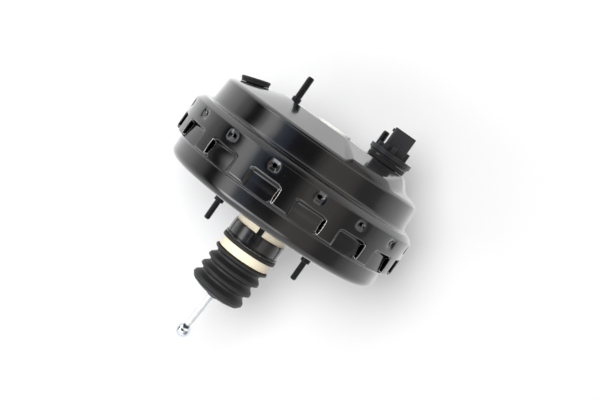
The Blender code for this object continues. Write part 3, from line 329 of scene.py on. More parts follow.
def face_finish(first, second, height):
    """The material number of a band face between two columns, or None where it is cut open."""
    sheared = first[2] or second[2]
    near, far = sorted((abs(first[1]), abs(second[1])))
    in_slit = sheared and SLIT_START + 0.4 < height < SLIT_END - 0.4
    if in_slit and near >= SLIT_INNER and far <= SLIT_OUTER:
        return None
    if far <= TONGUE_HOLE_HALF and TONGUE_HOLE_START < height < TONGUE_EDGE:
        return None
    if in_slit and near >= BARE_INNER and far <= BARE_OUTER:
        return 1
    if far <= TONGUE_FACE_HALF and TONGUE_EDGE - 0.2 < height < BAND_TOP_X * 1000:
        return 2
    return 0


def new_object(name, mesh, mat, place=None):
    """A mesh object in the scene, with its material."""
    made = bpy.data.objects.new(name, mesh)
    bpy.context.scene.collection.objects.link(made)
    mesh.materials.append(mat)
    if place is not None:
        made.matrix_world = place
    return made


# Columns of the mesh: a pocket's centre, the arc distance from it, and whether a slit is there.
# Above the ledge every second one goes on, and all of them where the lobe is. The slits open to
# one side on half of the turn and to the other side on the rest.
POCKET_COUNT = 16
POCKET_TURN_DEG = 9.2
HALF_TURN_DEG = 20.45
half_columns = [0, TONGUE_HOLE_HALF, TONGUE_FACE_HALF, TONGUE_HALF, 8.0, 10.4, WALL_START, 13.4, 14.3]
half_columns += [BARE_INNER, SLIT_INNER, SLIT_OUTER, BARE_OUTER, 19.6, 20.8, 22.8]
offsets = [-v for v in half_columns[:0:-1]] + half_columns + [26.5]
columns = []
for pocket in range(POCKET_COUNT):
    centre = math.tau * pocket / POCKET_COUNT + math.radians(POCKET_TURN_DEG)
    sheared_side = 1 if HALF_TURN_DEG < math.degrees(centre) < HALF_TURN_DEG + 180 else -1
    for offset in offsets:
        columns.append((centre, offset, sheared_side * offset > 0))
kept = []
for number, (centre, offset, sheared) in enumerate(columns):
    at_lobe = math.sin(centre + offset / ARC_RADIUS) < -0.66
    if at_lobe or number % 2 == 0:
        kept.append(number)

bm = bmesh.new()
shell_rings = []
path = shell_path()
for x, r in path:
    numbers = kept if x > LEDGE_X else range(len(columns))
    shell_rings.append([bm.verts.new(shell_point(x, r, *columns[number])) for number in numbers])
for row, (first, second) in enumerate(zip(shell_rings, shell_rings[1:])):
    height = (path[row][0] + path[row + 1][0]) * 500
    for i in range(len(first)):
        j = (i + 1) % len(first)
        if len(first) == len(second):
            with_slits = len(first) == len(columns)
            finish = face_finish(columns[i], columns[j], height) if with_slits else 0
            if finish is not None:
                face = bm.faces.new((first[j], second[j], second[i], first[i]))
                face.material_index = finish
        elif kept[j] - kept[i] == 1:
            bm.faces.new((first[j], second[kept[j]], second[kept[i]], first[i]))
        else:
            middle = second[kept[i] + 1]
            bm.faces.new((first[j], second[kept[j]], middle, second[kept[i]], first[i]))
shell_mesh = bpy.data.meshes.new("front_shell_sheet")
bm.to_mesh(shell_mesh)
bm.free()
front_shell = new_object("front_shell_sheet", shell_mesh, paint)
shell_mesh.materials.append(cut_steel)
shell_mesh.materials.append(thin_paint)
shell_mesh.shade_smooth()


def add_wall(made, thickness):
    """The sheet's thickness, laid on the inner side of its outer skin."""
    wall = made.modifiers.new("wall", "SOLIDIFY")
    wall.thickness = thickness
    wall.offset = -1
    return wall


add_wall(front_shell, FRONT_SHEET).material_offset_rim = 1
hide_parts("front_shell")
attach(front_shell, "housing")

# Rear shell
# The second drawn sheet, 1.6 mm thick: its rim lies inside the band and is locked there.
# A corner of 9 mm leads to the flat back with its raised mounting pad and the neck hole.
REAR_SHEET = 0.0016
TURN_TO_X = Matrix.Rotation(math.radians(90), 4, "Y")


def add_turn(made, steps):
    """The object's line turned round its own Z axis."""
    turn = made.modifiers.new("turn", "SCREW")
    turn.axis = "Z"
    turn.steps = steps
    turn.render_steps = steps
    turn.use_merge_vertices = True
    turn.merge_threshold = 0.000002
    return turn


rear_path = rounded(
    [
        (0.0318, 0.1296, 0),
        (0.0318, 0.1280, 0.0008),
        (0.0282, 0.1280, 0.0009),
        (0.0270, 0.1259, 0.0012),
        (0.0050, 0.1256, 0.0085),
        (0.0055, 0.0745, 0.0050),
        (0.0000, 0.0680, 0.0040),
        (0.0000, 0.0304, 0.0016),
        (0.0085, 0.0304, 0),
    ],
    6,
    closed=False,
)
rear_mesh = bpy.data.meshes.new("rear_shell_sheet")
rear_mesh.from_pydata(
    [(r, 0, x) for x, r in rear_path], [(i, i + 1) for i in range(len(rear_path) - 1)], []
)
rear_shell = new_object("rear_shell_sheet", rear_mesh, paint, TURN_TO_X)
add_turn(rear_shell, 192).use_smooth_shade = True
add_wall(rear_shell, REAR_SHEET)
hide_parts("rear_shell")
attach(rear_shell, "housing")

# Front studs
# Cold-headed steel studs, M8 with a rolled thread of 1.25 mm, black zinc-nickel plated.
# Each has a round collar under the master cylinder's flange and is riveted through the plateau.
stud_steel = material(
    "black zinc-nickel plate on steel", "#141415", 0.27, metallic=0.35, grain=0.6, spread=0.06
)


def along_x(x, y, z):
    """A place whose local Z axis points along +X."""
    return Matrix.Translation((x, y, z)) @ TURN_TO_X


def turned(name, corners, mat, place=TURN_TO_X, steps=96):
    """A solid of revolution about its own Z axis, with rounded corners and even shading."""
    on_axis = corners[0][1] == 0 and corners[-1][1] == 0
    points = [(r, 0, x) for x, r in rounded(corners, closed=not on_axis)]
    edges = [(i, i + 1) for i in range(len(points) - 1)]
    if not on_axis:
        edges.append((len(points) - 1, 0))
    mesh = bpy.data.meshes.new(name)
    mesh.from_pydata(points, edges, [])
    made = new_object(name, mesh, mat, place)
    add_turn(made, steps).use_smooth_shade = True
    shading = made.modifiers.new("shading", "WEIGHTED_NORMAL")
    shading.keep_sharp = True
    return made


def thread(name, root, crest, pitch, start, end, mat, place):
    """A helical thread from start to end along the local Z axis, round a stud's shank."""
    outline = [(root, 0, 0), (crest, 0, 0.42 * pitch), (crest, 0, 0.58 * pitch), (root, 0, pitch)]
    mesh = bpy.data.meshes.new(name)
    mesh.from_pydata([(x, y, z + start) for x, y, z in outline], [(0, 1), (1, 2), (2, 3)], [])
    made = new_object(name, mesh, mat, place)
    turn = add_turn(made, 28)
    turn.screw_offset = pitch
    turn.iterations = round((end - start) / pitch) - 1
    return made


def stud(name, corners, place, **sizes):
    """A stud of the housing: its turned body and, round its shank, the thread."""
    body = turned(name + "_body", corners, stud_steel, place, steps=32)
    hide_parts(name)
    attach(body, "housing")
    threads = thread(name + "_thread", mat=stud_steel, place=place, **sizes)
    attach(threads, "housing")


front_stud_corners = [
    (0.1510, 0, 0),
    (0.1510, 0.0026, 0.0004),
    (0.1498, 0.0034, 0.0004),
    (0.1262, 0.0034, 0.0003),
    (0.1262, 0.0049, 0.0006),
    (0.1213, 0.0049, 0.0005),
    (0.1213, 0.0038, 0),
    (0.1166, 0.0038, 0),
    (0.1166, 0.0080, 0.0003),
    (0.1136, 0.0080, 0.0005),
    (0.1136, 0, 0),
]
for name, y, z in (("front_stud_left", 0.0475, 0.0205), ("front_stud_right", -0.0475, -0.0205)):
    stud(
        name,
        front_stud_corners,
        along_x(0, y, z),
        root=0.00325,
        crest=0.0038,
        pitch=0.00125,
        start=0.1268,
        end=0.1500,
    )

# Rear studs
# The same kind of stud in a smaller size, M7 with a thread of 1 mm, fixed in the rear shell's pad.
# The long collar spaces the booster from the bulkhead's reinforcement.
rear_stud_corners = [
    (0.0049, 0, 0),
    (0.0049, 0.0080, 0.0004),
    (0.0019, 0.0080, 0.0004),
    (0.0019, 0.0034, 0),
    (-0.0003, 0.0034, 0),
    (-0.0003, 0.0054, 0.0004),
    (-0.0103, 0.0054, 0.0006),
    (-0.0103, 0.0031, 0.0003),
    (-0.0312, 0.0031, 0.0004),
    (-0.0324, 0.0023, 0.0003),
    (-0.0324, 0, 0),
]
for name, y in (("rear_stud_left", 0.0553), ("rear_stud_right", -0.0553)):
    stud(
        name,
        rear_stud_corners,
        along_x(0, y, 0),
        root=0.00295,
        crest=0.0034,
        pitch=0.0010,
        start=-0.0318,
        end=-0.0108,
    )

# Bore ring
# White nylon guide ring, injection moulded and pressed into the collar of the bore.
# The master cylinder's spigot is centred by it.
white_nylon = material("moulded white nylon", "#EDEDE8", 0.42, grain=0.8, spread=0.05)
bore_ring = turned(
    "bore_ring_moulding",
    [
        (0.1232, 0.0207, 0.0006),
        (0.1137, 0.0207, 0.0003),
        (0.1137, 0.0181, 0.0003),
        (0.1232, 0.0181, 0.0009),
    ],
    white_nylon,
)
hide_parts("bore_ring")
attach(bore_ring, "housing")

# Vacuum grommet
# Bush of moulded black rubber, snapped into a hole of the cone and square to its slope.
# The hose's check valve is pushed into its hole.
rubber = material(
    "moulded black rubber", "#111112", 0.62, grain=0.5, tint="#161616", spread=0.08, bump=0.02
)
cone_slope = math.atan2(0.1210 - 0.1055, 0.1125 - 0.0640)
grommet_place = (
    Matrix.Translation((0.11157, 0.0935, 0)) @ Matrix.Rotation(cone_slope, 4, "Z") @ TURN_TO_X
)
vacuum_grommet = turned(
    "vacuum_grommet_moulding",
    [
        (0.0062, 0.0151, 0.0006),
        (0.0050, 0.0157, 0.0004),
        (0.0034, 0.0156, 0.0003),
        (0.0030, 0.0149, 0.0003),
        (0.0004, 0.0149, 0.0005),
        (0.0006, 0.0100, 0.0003),
        (-0.0024, 0.0100, 0.0003),
        (-0.0024, 0.0124, 0.0006),
        (-0.0054, 0.0106, 0.0006),
        (-0.0054, 0.0070, 0.0004),
        (0.0062, 0.0070, 0.0009),
    ],
    rubber,
    grommet_place,
    steps=64,
)
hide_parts("vacuum_grommet")
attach(vacuum_grommet, "housing")

# Vacuum sensor
# Glass-filled black moulding on a rubber seat: round flange with a rim and a square connector.
black_plastic = material(
    "glass-filled black plastic", "#161618", 0.42, grain=0.35, tint="#1C1C1F", spread=0.07, bump=0.01
)
SENSOR = along_x(0, SENSOR_Y, SENSOR_Z)
sensor_seat = turned(
    "sensor_grommet_moulding",
    [
        (0.1263, 0.0221, 0.0006),
        (0.1213, 0.0215, 0.0008),
        (0.1213, 0.0132, 0.0003),
        (0.1189, 0.0132, 0.0003),
        (0.1168, 0.0150, 0.0008),
        (0.1142, 0.0130, 0.0006),
        (0.1142, 0.0113, 0.0003),
        (0.1263, 0.0113, 0.0003),
    ],
    rubber,
    SENSOR,
    steps=72,
)
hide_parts("sensor_grommet")
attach(sensor_seat, "housing")
sensor_body = turned(
    "sensor_body_moulding",
    [
        (0.1336, 0, 0),
        (0.1336, 0.0205, 0.0006),
        (0.1345, 0.0213, 0.0003),
        (0.1345, 0.0244, 0.0005),
        (0.1292, 0.0242, 0.0006),
        (0.1288, 0.0226, 0.0005),
        (0.1266, 0.0224, 0.0004),
        (0.1266, 0.0110, 0.0003),
        (0.1122, 0.0110, 0.0006),
        (0.1122, 0.0030, 0.0003),
        (0.1250, 0.0030, 0),
        (0.1250, 0, 0),
    ],
    black_plastic,
    SENSOR,
    steps=72,
)
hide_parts("sensor_body")
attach(sensor_body, "housing")


def plate(name, outline, low, high, holes=()):
    """A flat moulding of the sensor: an outline in (y, z), with holes, from low to high along X."""
    edge_round = 0.0004
    curve = bpy.data.curves.new(name, "CURVE")
    curve.dimensions = "2D"
    curve.fill_mode = "BOTH"
    curve.extrude = (high - low) / 2 - edge_round
    curve.bevel_depth = edge_round
    curve.bevel_resolution = 2
    for loop in (outline, *holes):
        line = curve.splines.new("POLY")
        line.points.add(len(loop) - 1)
        line.use_cyclic_u = True
        for point, (y, z) in zip(line.points, loop):
            point.co = (-z, y, 0, 1)
    made = bpy.data.objects.new(name, curve)
    bpy.context.scene.collection.objects.link(made)
    curve.materials.append(black_plastic)
    made.matrix_world = along_x((low + high) / 2, 0, 0)
    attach(made, "housing")


def rounded_box(y, z, half_y, half_z, corner):
    """The outline of a rectangle with rounded corners."""
    steps = 4
    points = []
    for quarter, (side_y, side_z) in enumerate(((1, 1), (-1, 1), (-1, -1), (1, -1))):
        for k in range(steps + 1):
            angle = math.radians(90 * quarter + 90 * k / steps)
            points.append(
                (
                    y + side_y * (half_y - corner) + corner * math.cos(angle),
                    z + side_z * (half_z - corner) + corner * math.sin(angle),
                )
            )
    return points


plate(
    "sensor_connector",
    rounded_box(SENSOR_Y, SENSOR_Z, 0.0119, 0.00875, 0.0024),
    0.1330,
    0.1600,
    holes=[rounded_box(SENSOR_Y, SENSOR_Z, 0.0100, 0.00685, 0.0014)],
)
details = [
    ("sensor_socket_floor", (SENSOR_Y, SENSOR_Z, 0.0102, 0.0070, 0.0010), 0.1332, 0.1400),
    ("sensor_latch", (-0.0523, SENSOR_Z, 0.0012, 0.0045, 0.0004), 0.1545, 0.1578),
    ("sensor_rib_low", (-0.0640, 0.0150, 0.0022, 0.0030, 0.0006), 0.1334, 0.1420),
    ("sensor_rib_left", (-0.0500, 0.0080, 0.0030, 0.0030, 0.0008), 0.1334, 0.1392),
    ("sensor_rib_mid", (-0.0550, 0.0140, 0.0026, 0.0026, 0.0008), 0.1334, 0.1408),
    ("sensor_rib_right", (-0.0785, 0.0060, 0.0020, 0.0026, 0.0008), 0.1334, 0.1436),
]
for name, box, low, high in details:
    plate(name, rounded_box(*box), low, high)

# Sensor terminals
# Three stamped brass pins, moulded into the floor of the socket.
# The cable's plug slides over them.
brass = material("stamped brass", "#C9A650", 0.28, metallic=1.0, grain=0.4, spread=0.05)


def dress(data, mat):
    """A finish in place of the plain material of a construction shape."""
    data.materials.clear()
    data.materials.append(mat)


for number in (1, 2, 3):
    dress(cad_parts["sensor_terminal_" + str(number)].data, brass)

# Guide sleeve
# Cream nylon tube, injection moulded, with a flange inside the neck hole that it passes through.
# Its pale wall shows above the collar's lugs and between the seal and the boot.
cream_nylon = material("moulded cream nylon", "#E6DCC4", 0.45, grain=0.9, tint="#E2D7BC", spread=0.05)
guide_sleeve = turned(
    "guide_sleeve_moulding",
    [
        (0.0106, 0.0339, 0.0004),
        (0.0088, 0.0339, 0.0004),
        (0.0088, 0.0296, 0.0004),
        (-0.0440, 0.0296, 0.0007),
        (-0.0440, 0.0270, 0.0004),
        (0.0106, 0.0270, 0.0005),
    ],
    cream_nylon,
)
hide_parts("guide_sleeve")
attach(guide_sleeve, "housing")

# Bulkhead collar and its seal
# Black moulding snapped on the neck: bayonet lugs, a key between them and a locating finger.
smooth_plastic = material(
    "polished black moulding", "#0E0E10", 0.20, grain=0.5, tint="#121214", spread=0.04
)
# The lugs are the collar's own black moulding, given a lighter base colour as painted sheen, and a real
# gloss coat on top.
lug_plastic_with_painted_sheen = material(
    "black moulding with painted sheen", "#1A1A1B", 0.26, grain=0.5, tint="#1E1E1F", spread=0.05, coat=0.9
)
collar = turned(
    "bulkhead_collar_ring",
    [
        (-0.0115, 0.0303, 0.0003),
        (-0.0266, 0.0303, 0.0002),
        (-0.0267, 0.0317, 0.0004),
        (-0.0289, 0.0317, 0.0004),
        (-0.0289, 0.02995, 0.0002),
        (-0.0115, 0.02995, 0.0002),
    ],
    smooth_plastic,
)
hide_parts("bulkhead_collar")
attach(collar, "housing")


def curved_pad(name, start_deg, end_deg, low, high, inner, outer, taper, mat):
    """A pad bent round the axis, from one angle to another measured from +Z towards +Y.

    A long pad slopes down over the last 9 degrees at each end.
    """
    width = end_deg - start_deg
    steps = max(2, int(width / 3))
    bm = bmesh.new()
    rows = []
    for k in range(steps + 1):
        angle = math.radians(start_deg + width * k / steps)
        from_end = min(k, steps - k) * width / steps
        drop = (outer - inner) * 0.55 * max(0, 1 - from_end / 9) ** 2 if width > 20 else 0
        section = [
            (low, inner),
            (low, outer - drop),
            (low + 0.8 * (high - low), outer - drop),
            (high, outer - drop - taper),
            (high, inner),
        ]
        ring = [bm.verts.new((x, r * math.sin(angle), r * math.cos(angle))) for x, r in section]
        rows.append(ring)
    for first, second in zip(rows, rows[1:]):
        for i in range(5):
            bm.faces.new((first[i], first[(i + 1) % 5], second[(i + 1) % 5], second[i]))
    bm.faces.new(rows[0][::-1])
    bm.faces.new(rows[-1])
    bmesh.ops.recalc_face_normals(bm, faces=bm.faces)
    mesh = bpy.data.meshes.new(name)
    bm.to_mesh(mesh)
    bm.free()
    mesh.shade_smooth()
    mesh.set_sharp_from_angle(angle=math.radians(40))
    made = new_object(name, mesh, mat)
    edge = made.modifiers.new("edge", "BEVEL")
    edge.width = 0.0004
    edge.segments = 2
    edge.limit_method = "ANGLE"
    return made


pads = [
    ("collar_lug_1", 8, 80, -0.0254, -0.0112, 0.0300, 0.0317, 0.0007),
    ("collar_lug_2", -80, -8, -0.0254, -0.0112, 0.0300, 0.0317, 0.0007),
    ("collar_lug_3", 100, 168, -0.0254, -0.0112, 0.0300, 0.0317, 0.0007),
    ("collar_lug_4", 192, 260, -0.0254, -0.0112, 0.0300, 0.0317, 0.0007),
    ("collar_finger", -7.5, 4, -0.0140, -0.0022, 0.0294, 0.0309, 0.0002),
    ("collar_key", -6, 7, -0.0272, -0.0196, 0.0300, 0.0313, 0.0),
]
for name, *sizes in pads:
    pad = curved_pad(name, *sizes, lug_plastic_with_painted_sheen if "lug" in name else smooth_plastic)
    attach(pad, "housing")
bulkhead_seal = turned(
    "bulkhead_seal_ring",
    [
        (-0.0293, 0.0310, 0.0003),
        (-0.0300, 0.0319, 0.0004),
        (-0.0338, 0.0319, 0.0006),
        (-0.0338, 0.02995, 0.0002),
        (-0.0293, 0.02995, 0.0002),
    ],
    rubber,
)
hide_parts("bulkhead_seal")
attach(bulkhead_seal, "housing")

# Boot
# Blow-moulded rubber bellows between the sleeve and the push rod.
# Its domed end grips the rod, and both lean with the rod.
boot_rubber = material(
    "blow-moulded black rubber", "#121213", 0.55, grain=0.6, tint="#171717", spread=0.08, bump=0.02
)
BOOT_TOP_X = -0.0446
BOOT_END_X = -0.0930
BOOT_FOLD = 0.0127
BOOT_WALL = 0.0012
BOOT_STEPS = 96
PIVOT_X = -0.0340
ROD_LEAN = math.radians(4.0)
boot_corners = [
    (BOOT_TOP_X, 0.0290, 0),
    (BOOT_TOP_X, 0.0314, 0.0012),
    (-0.0472, 0.0318, 0.0014),
]
for ridge in range(1, 4):
    x = -0.0463 - BOOT_FOLD * ridge
    boot_corners += [
        (x + 0.0086, 0.0266, 0.0012),
        (x + 0.0060, 0.0264, 0.0012),
        (x + 0.0016, 0.0310, 0.0014),
        (x - 0.0014, 0.0316, 0.0013),
    ]
boot_corners.append((-0.0871, 0.0305, 0))
dome_corners = [
    (-0.0868, 0.0283, 0),
    (-0.0873, 0.0284, 0.0004),
    (-0.0874, 0.0303, 0.0004),
    (-0.0898, 0.0286, 0.0060),
    (-0.0926, 0.0200, 0.0080),
    (-0.0932, 0.0085, 0.0022),
    (-0.0958, 0.0063, 0.0006),
    (-0.0962, 0.0050, 0),
]


def bellows(name, corners):
    """A moulded skin round the axis that leans towards the push rod away from the sleeve."""
    mesh = bpy.data.meshes.new(name)
    bm = bmesh.new()
    slope = math.tan(ROD_LEAN)
    rings = []
    for x, r in rounded(corners, 5, closed=False):
        share = clamped((BOOT_TOP_X - x) / (BOOT_TOP_X - BOOT_END_X))
        tilt = slope * eased(share)
        shift = slope * (PIVOT_X - BOOT_END_X) * (0.45 * share + 0.55 * share * share)
        ring = []
        for k in range(BOOT_STEPS):
            angle = math.tau * k / BOOT_STEPS
            y, z = r * math.sin(angle), r * math.cos(angle)
            ring.append(bm.verts.new((x + y * tilt, y + shift, z)))
        rings.append(ring)
    for first, second in zip(rings, rings[1:]):
        for i in range(BOOT_STEPS):
            j = (i + 1) % BOOT_STEPS
            bm.faces.new((first[j], first[i], second[i], second[j]))
    bmesh.ops.recalc_face_normals(bm, faces=bm.faces)
    bm.to_mesh(mesh)
    bm.free()
    mesh.shade_smooth()
    made = new_object(name, mesh, boot_rubber)
    add_wall(made, BOOT_WALL)
    return made


boot = bellows("boot_bellows", boot_corners)
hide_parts("boot")
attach(boot, "housing")
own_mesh(boot)
dome = bellows("boot_dome", dome_corners)
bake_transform(dome)

# Push rod
# Turned and cold-headed steel with a bright zinc plate, satin on the shank and polished on the
# outer ball, which seats in the pedal's clevis.
zinc = material(
    "bright zinc plate on steel", "#D6DADD", 0.14, metallic=1.0, grain=0.7, tint="#C6CED6", spread=0.05
)
satin_zinc = material(
    "satin zinc plate on steel", "#F0F3F4", 0.52, metallic=1.0, grain=0.4, tint="#E6EBEE", spread=0.05
)
ROD_PLACE = Matrix.Translation((PIVOT_X, 0, 0)) @ Matrix.Rotation(-ROD_LEAN, 4, "Z") @ TURN_TO_X
PEDAL_BALL_RADIUS = 0.0080
PEDAL_BALL_X = -0.1090 / math.cos(ROD_LEAN)


def ball_line(radius, sweep_deg, steps):
    """Profile points of a ball, from its top on the axis down through an angle."""
    points = [(radius, 0, 0)]
    for k in range(1, steps + 1):
        angle = math.radians(90 - sweep_deg * k / steps)
        points.append((radius * math.sin(angle), radius * math.cos(angle), 0))
    return points


rod_profile = ball_line(0.0050, 143, 9) + [
    (-0.0080, 0.0030, 0.0020),
    (-0.0110, 0.0042, 0.0010),
    (-0.0246, 0.0042, 0.0001),
    (-0.0246, 0.0080, 0.0002),
    (-0.0252, 0.0080, 0.0003),
    (-0.0252, 0.0042, 0.0002),
    (-0.0960, 0.0042, 0.0100),
    (PEDAL_BALL_X + 0.0072, 0.0031, 0.0004),
    (PEDAL_BALL_X + 0.0070, 0, 0),
]
push_rod = turned("push_rod_turned", rod_profile, satin_zinc, ROD_PLACE, steps=64)
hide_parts("push_rod")
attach(push_rod, "input_rod")
ball_profile = ball_line(PEDAL_BALL_RADIUS, 170, 17) + [(-PEDAL_BALL_RADIUS, 0, 0)]
ball_place = along_x(*(ROD_PLACE @ Vector((0, 0, PEDAL_BALL_X))))
ball = turned("push_rod_ball", ball_profile, zinc, ball_place, steps=64)
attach(ball, "input_rod")

# Pieces inside the shells
# They keep their construction shapes; each gets the finish of its own real material.
phenolic = material("moulded brown phenolic", "#33241C", 0.48, grain=0.6, tint="#3F2C22", spread=0.06)
phosphated = material("phosphated pressed steel", "#5E6163", 0.45, metallic=0.9, grain=0.5, spread=0.08)
spring_steel = material("oil-tempered spring wire", "#74777A", 0.30, metallic=1.0, grain=0.5, spread=0.06)
foam = material("open-cell grey foam", "#55565A", 0.95, grain=0.5, spread=0.03, bump=0.3)
inside = {
    "front_reinforcement": phosphated,
    "diaphragm_plate": phosphated,
    "output_rod_retainer": phosphated,
    "poppet_retainer": phosphated,
    "valve_body": phenolic,
    "neck_seal": rubber,
    "neck_bearing": white_nylon,
    "diaphragm": rubber,
    "reaction_disc": rubber,
    "poppet_valve": rubber,
    "output_rod": zinc,
    "valve_plunger": zinc,
    "valve_key": zinc,
    "poppet_spring": spring_steel,
    "air_filter": foam,
}
for name, mat in inside.items():
    dress(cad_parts[name].data, mat)

# Springs
# Cold-coiled wire: the large return spring, pressed against the front shell by the stroke, and
# the push rod's own spring, pressed against its retainer. Each keeps its construction shape.
for name, body, joint, travel in (
    ("return_spring", "housing", "piston_stroke", 0.036),
    ("rod_return_spring", "piston", "plunger_travel", 0.0011),
):
    low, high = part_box(name)
    coil = bpy.data.objects.new(name + "_coil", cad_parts[name].data.copy())
    bpy.context.scene.collection.objects.link(coil)
    dress(coil.data, spring_steel)
    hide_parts(name)
    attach(coil, body)
    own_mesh(coil)

# Floor
# White sweep of paper under the booster, level, at its lowest point. The paper shows brighter
# to the camera and in reflections than it shines on the booster, and keeps the shadow.
FLOOR_Z = -0.1352
FLOOR_HALF = 6
CAMERA_LIFT = 0.10
MIRROR_LIFT = 0.34
floor_paper = material("matt pale paper", "#CFCFCF", 0.9, grain=2.0, spread=0.02)
tree = floor_paper.node_tree
rays = add_node(tree, "ShaderNodeLightPath").outputs


def calculated(tree, operation, *values):
    """The result of a math node."""
    return add_node(tree, "ShaderNodeMath", *values, operation=operation).outputs["Value"]


mirrored = calculated(tree, "MAXIMUM", rays["Is Glossy Ray"], rays["Is Transmission Ray"])
seen = calculated(tree, "MULTIPLY", rays["Is Camera Ray"], CAMERA_LIFT)
lift = calculated(tree, "MULTIPLY_ADD", mirrored, MIRROR_LIFT, seen)
glow = add_node(tree, "ShaderNodeEmission", Color=colour("#FCFDFF"), Strength=lift)
matt = tree.nodes["Principled BSDF"].outputs["BSDF"]
both = add_node(tree, "ShaderNodeAddShader", matt, glow.outputs["Emission"])
tree.links.new(both.outputs["Shader"], tree.nodes["Material Output"].inputs["Surface"])
corners = [(FLOOR_HALF * x, FLOOR_HALF * y, FLOOR_Z) for x, y in ((-1, -1), (1, -1), (1, 1), (-1, 1))]
floor_mesh = bpy.data.meshes.new("paper_floor")
floor_mesh.from_pydata(corners, [], [(0, 1, 2, 3)])
floor = new_object("paper_floor", floor_mesh, floor_paper)

# Lights
# A broad soft box overhead makes the shadow. Strip boxes, black flags and pale walls stand round
# the booster along its axis, and the gloss coat shows them as bands. The camera sees a plain
# pale backdrop in their place.
key_data = bpy.data.lights.new("overhead_box", "AREA")
key_data.shape = "RECTANGLE"
key_data.size = 0.9
key_data.size_y = 0.9
key_data.energy = 48
key_box = bpy.data.objects.new("overhead_box", key_data)
bpy.context.scene.collection.objects.link(key_box)
key_box.location = (0.31, 0.37, 2.1)
key_aim = Vector((0.03, 0, 0)) - key_box.location
key_box.rotation_euler = key_aim.to_track_quat("-Z", "Y").to_euler()
key_box.visible_glossy = False

world = bpy.data.worlds.new("studio_surround")
world.use_nodes = True
bpy.context.scene.world = world
tree = world.node_tree


def light_ramp(tree, source, stops):
    """Light along a source value, from stops of a place with a grey or a red, green and blue."""
    node = add_node(tree, "ShaderNodeValToRGB", Fac=source)
    elements = node.color_ramp.elements
    elements[1].position = stops[-1][0]
    elements[0].position = stops[0][0]
    for place, *light in stops[1:-1]:
        elements.new(place)
    for element, (place, *light) in zip(elements, stops):
        element.color = (*(light if len(light) == 3 else light * 3), 1)
    return node.outputs["Color"]


def combined(tree, operation, first, second):
    """Two colours added or multiplied."""
    return add_node(tree, "ShaderNodeVectorMath", first, second, operation=operation).outputs["Vector"]


# Bands round the axis, by their angle in degrees from overhead towards +Y
bands = [
    (-180, 0.34, 0.34, 0.34),
    (-94, 0.34, 0.34, 0.34),
    (-86, 0.28, 0.28, 0.28),
    (-78, 0.13, 0.13, 0.13),
    (-58, 0.12, 0.12, 0.12),
    (-44, 0.27, 0.25, 0.235),
    (-18, 0.30, 0.28, 0.26),
    (-8, 0.15, 0.145, 0.14),
    (-2, 0.018, 0.018, 0.019),
    (20, 0.018, 0.020, 0.026),
    (27, 0.09, 0.11, 0.16),
    (38, 0.20, 0.23, 0.29),
    (45, 1.0, 1.0, 1.0),
    (54, 1.0, 1.0, 1.0),
    (61, 0.32, 0.32, 0.33),
    (67, 0.020, 0.020, 0.022),
    (74, 0.020, 0.020, 0.022),
    (84, 0.26, 0.26, 0.26),
    (96, 0.36, 0.36, 0.36),
    (180, 0.34, 0.34, 0.34),
]
direction = add_node(tree, "ShaderNodeTexCoord").outputs["Generated"]
parts = add_node(tree, "ShaderNodeSeparateXYZ", Vector=direction).outputs
ahead = calculated(tree, "MAXIMUM", parts["X"], 0)
lifted = calculated(tree, "MULTIPLY_ADD", ahead, 0.45, parts["Z"])
around = calculated(tree, "ARCTAN2", parts["Y"], lifted)
turn_share = add_node(tree, "ShaderNodeMapRange", around, -math.pi, math.pi).outputs["Result"]
round_axis = light_ramp(
    tree, turn_share, [(degrees / 360 + 0.5, *light) for degrees, *light in bands]
)

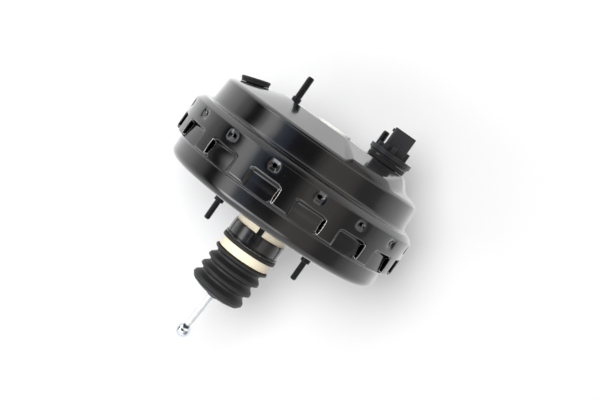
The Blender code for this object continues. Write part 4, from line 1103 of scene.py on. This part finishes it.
# The pale wall behind the push rod, and the strip boxes before and behind the booster
end = add_node(tree, "ShaderNodeMapRange", Value=parts["X"])
end.interpolation_type = "SMOOTHSTEP"
end.inputs["From Min"].default_value = -0.45
end.inputs["From Max"].default_value = -0.85
walls = add_node(tree, "ShaderNodeMix", Factor=end.outputs["Result"])
walls.data_type = "RGBA"
tree.links.new(round_axis, walls.inputs[6])
walls.inputs[7].default_value = (0.55, 0.55, 0.56, 1)
lengthways = add_node(tree, "ShaderNodeMapRange", parts["X"], -1, 1).outputs["Result"]
rear_reach = light_ramp(tree, lengthways, [(0.17, 0), (0.20, 1), (0.33, 1), (0.36, 0)])
rear_turn = light_ramp(
    tree, turn_share, [(0.42, 0), (0.46, 0.5), (0.53, 0.5), (0.58, 1), (0.64, 1), (0.67, 0)]
)
rear_strip = combined(tree, "MULTIPLY", rear_reach, rear_turn)
rear_box = combined(tree, "MULTIPLY", rear_strip, (1.9, 1.9, 1.9))
front_box = light_ramp(tree, lengthways, [(0.62, 0), (0.66, 0.42), (0.79, 0.42), (0.84, 0)])
boxes = combined(tree, "ADD", rear_box, front_box)
rays = add_node(tree, "ShaderNodeLightPath").outputs
backdrop = add_node(tree, "ShaderNodeMix", Factor=rays["Is Camera Ray"])
backdrop.data_type = "RGBA"
tree.links.new(combined(tree, "ADD", walls.outputs[2], boxes), backdrop.inputs[6])
backdrop.inputs[7].default_value = (0.62, 0.62, 0.625, 1)
background = tree.nodes["Background"]
tree.links.new(backdrop.outputs[2], background.inputs["Color"])
strength = calculated(tree, "MULTIPLY_ADD", rays["Is Glossy Ray"], 1.05, 1.55)
tree.links.new(strength, background.inputs["Strength"])

# Camera
# Above the bench, looking down at the booster, turned so that its axis runs up to the right.
IMAGE_SIZE = (600, 400)
FOCAL_PIXELS = 1230
CAMERA_TURN = 0.614
eye = Vector((0.13168, -0.03961, 1.28051))
aim = (Vector((0.04025, -0.01417, 0)) - eye).normalized()
side = aim.cross(Vector((1, 0, 0))).normalized()
upward = side.cross(aim)
right = math.cos(CAMERA_TURN) * side + math.sin(CAMERA_TURN) * upward
up = -math.sin(CAMERA_TURN) * side + math.cos(CAMERA_TURN) * upward
camera_data = bpy.data.cameras.new("camera")
camera_data.sensor_width = 36
camera_data.lens = camera_data.sensor_width * FOCAL_PIXELS / IMAGE_SIZE[0]
camera_data.clip_end = 20
camera = bpy.data.objects.new("camera", camera_data)
camera.matrix_world = Matrix.Translation(eye) @ Matrix((right, up, -aim)).transposed().to_4x4()
scene = bpy.context.scene
scene.collection.objects.link(camera)
scene.camera = camera
scene.render.resolution_x, scene.render.resolution_y = IMAGE_SIZE
scene.view_settings.view_transform = "Standard"
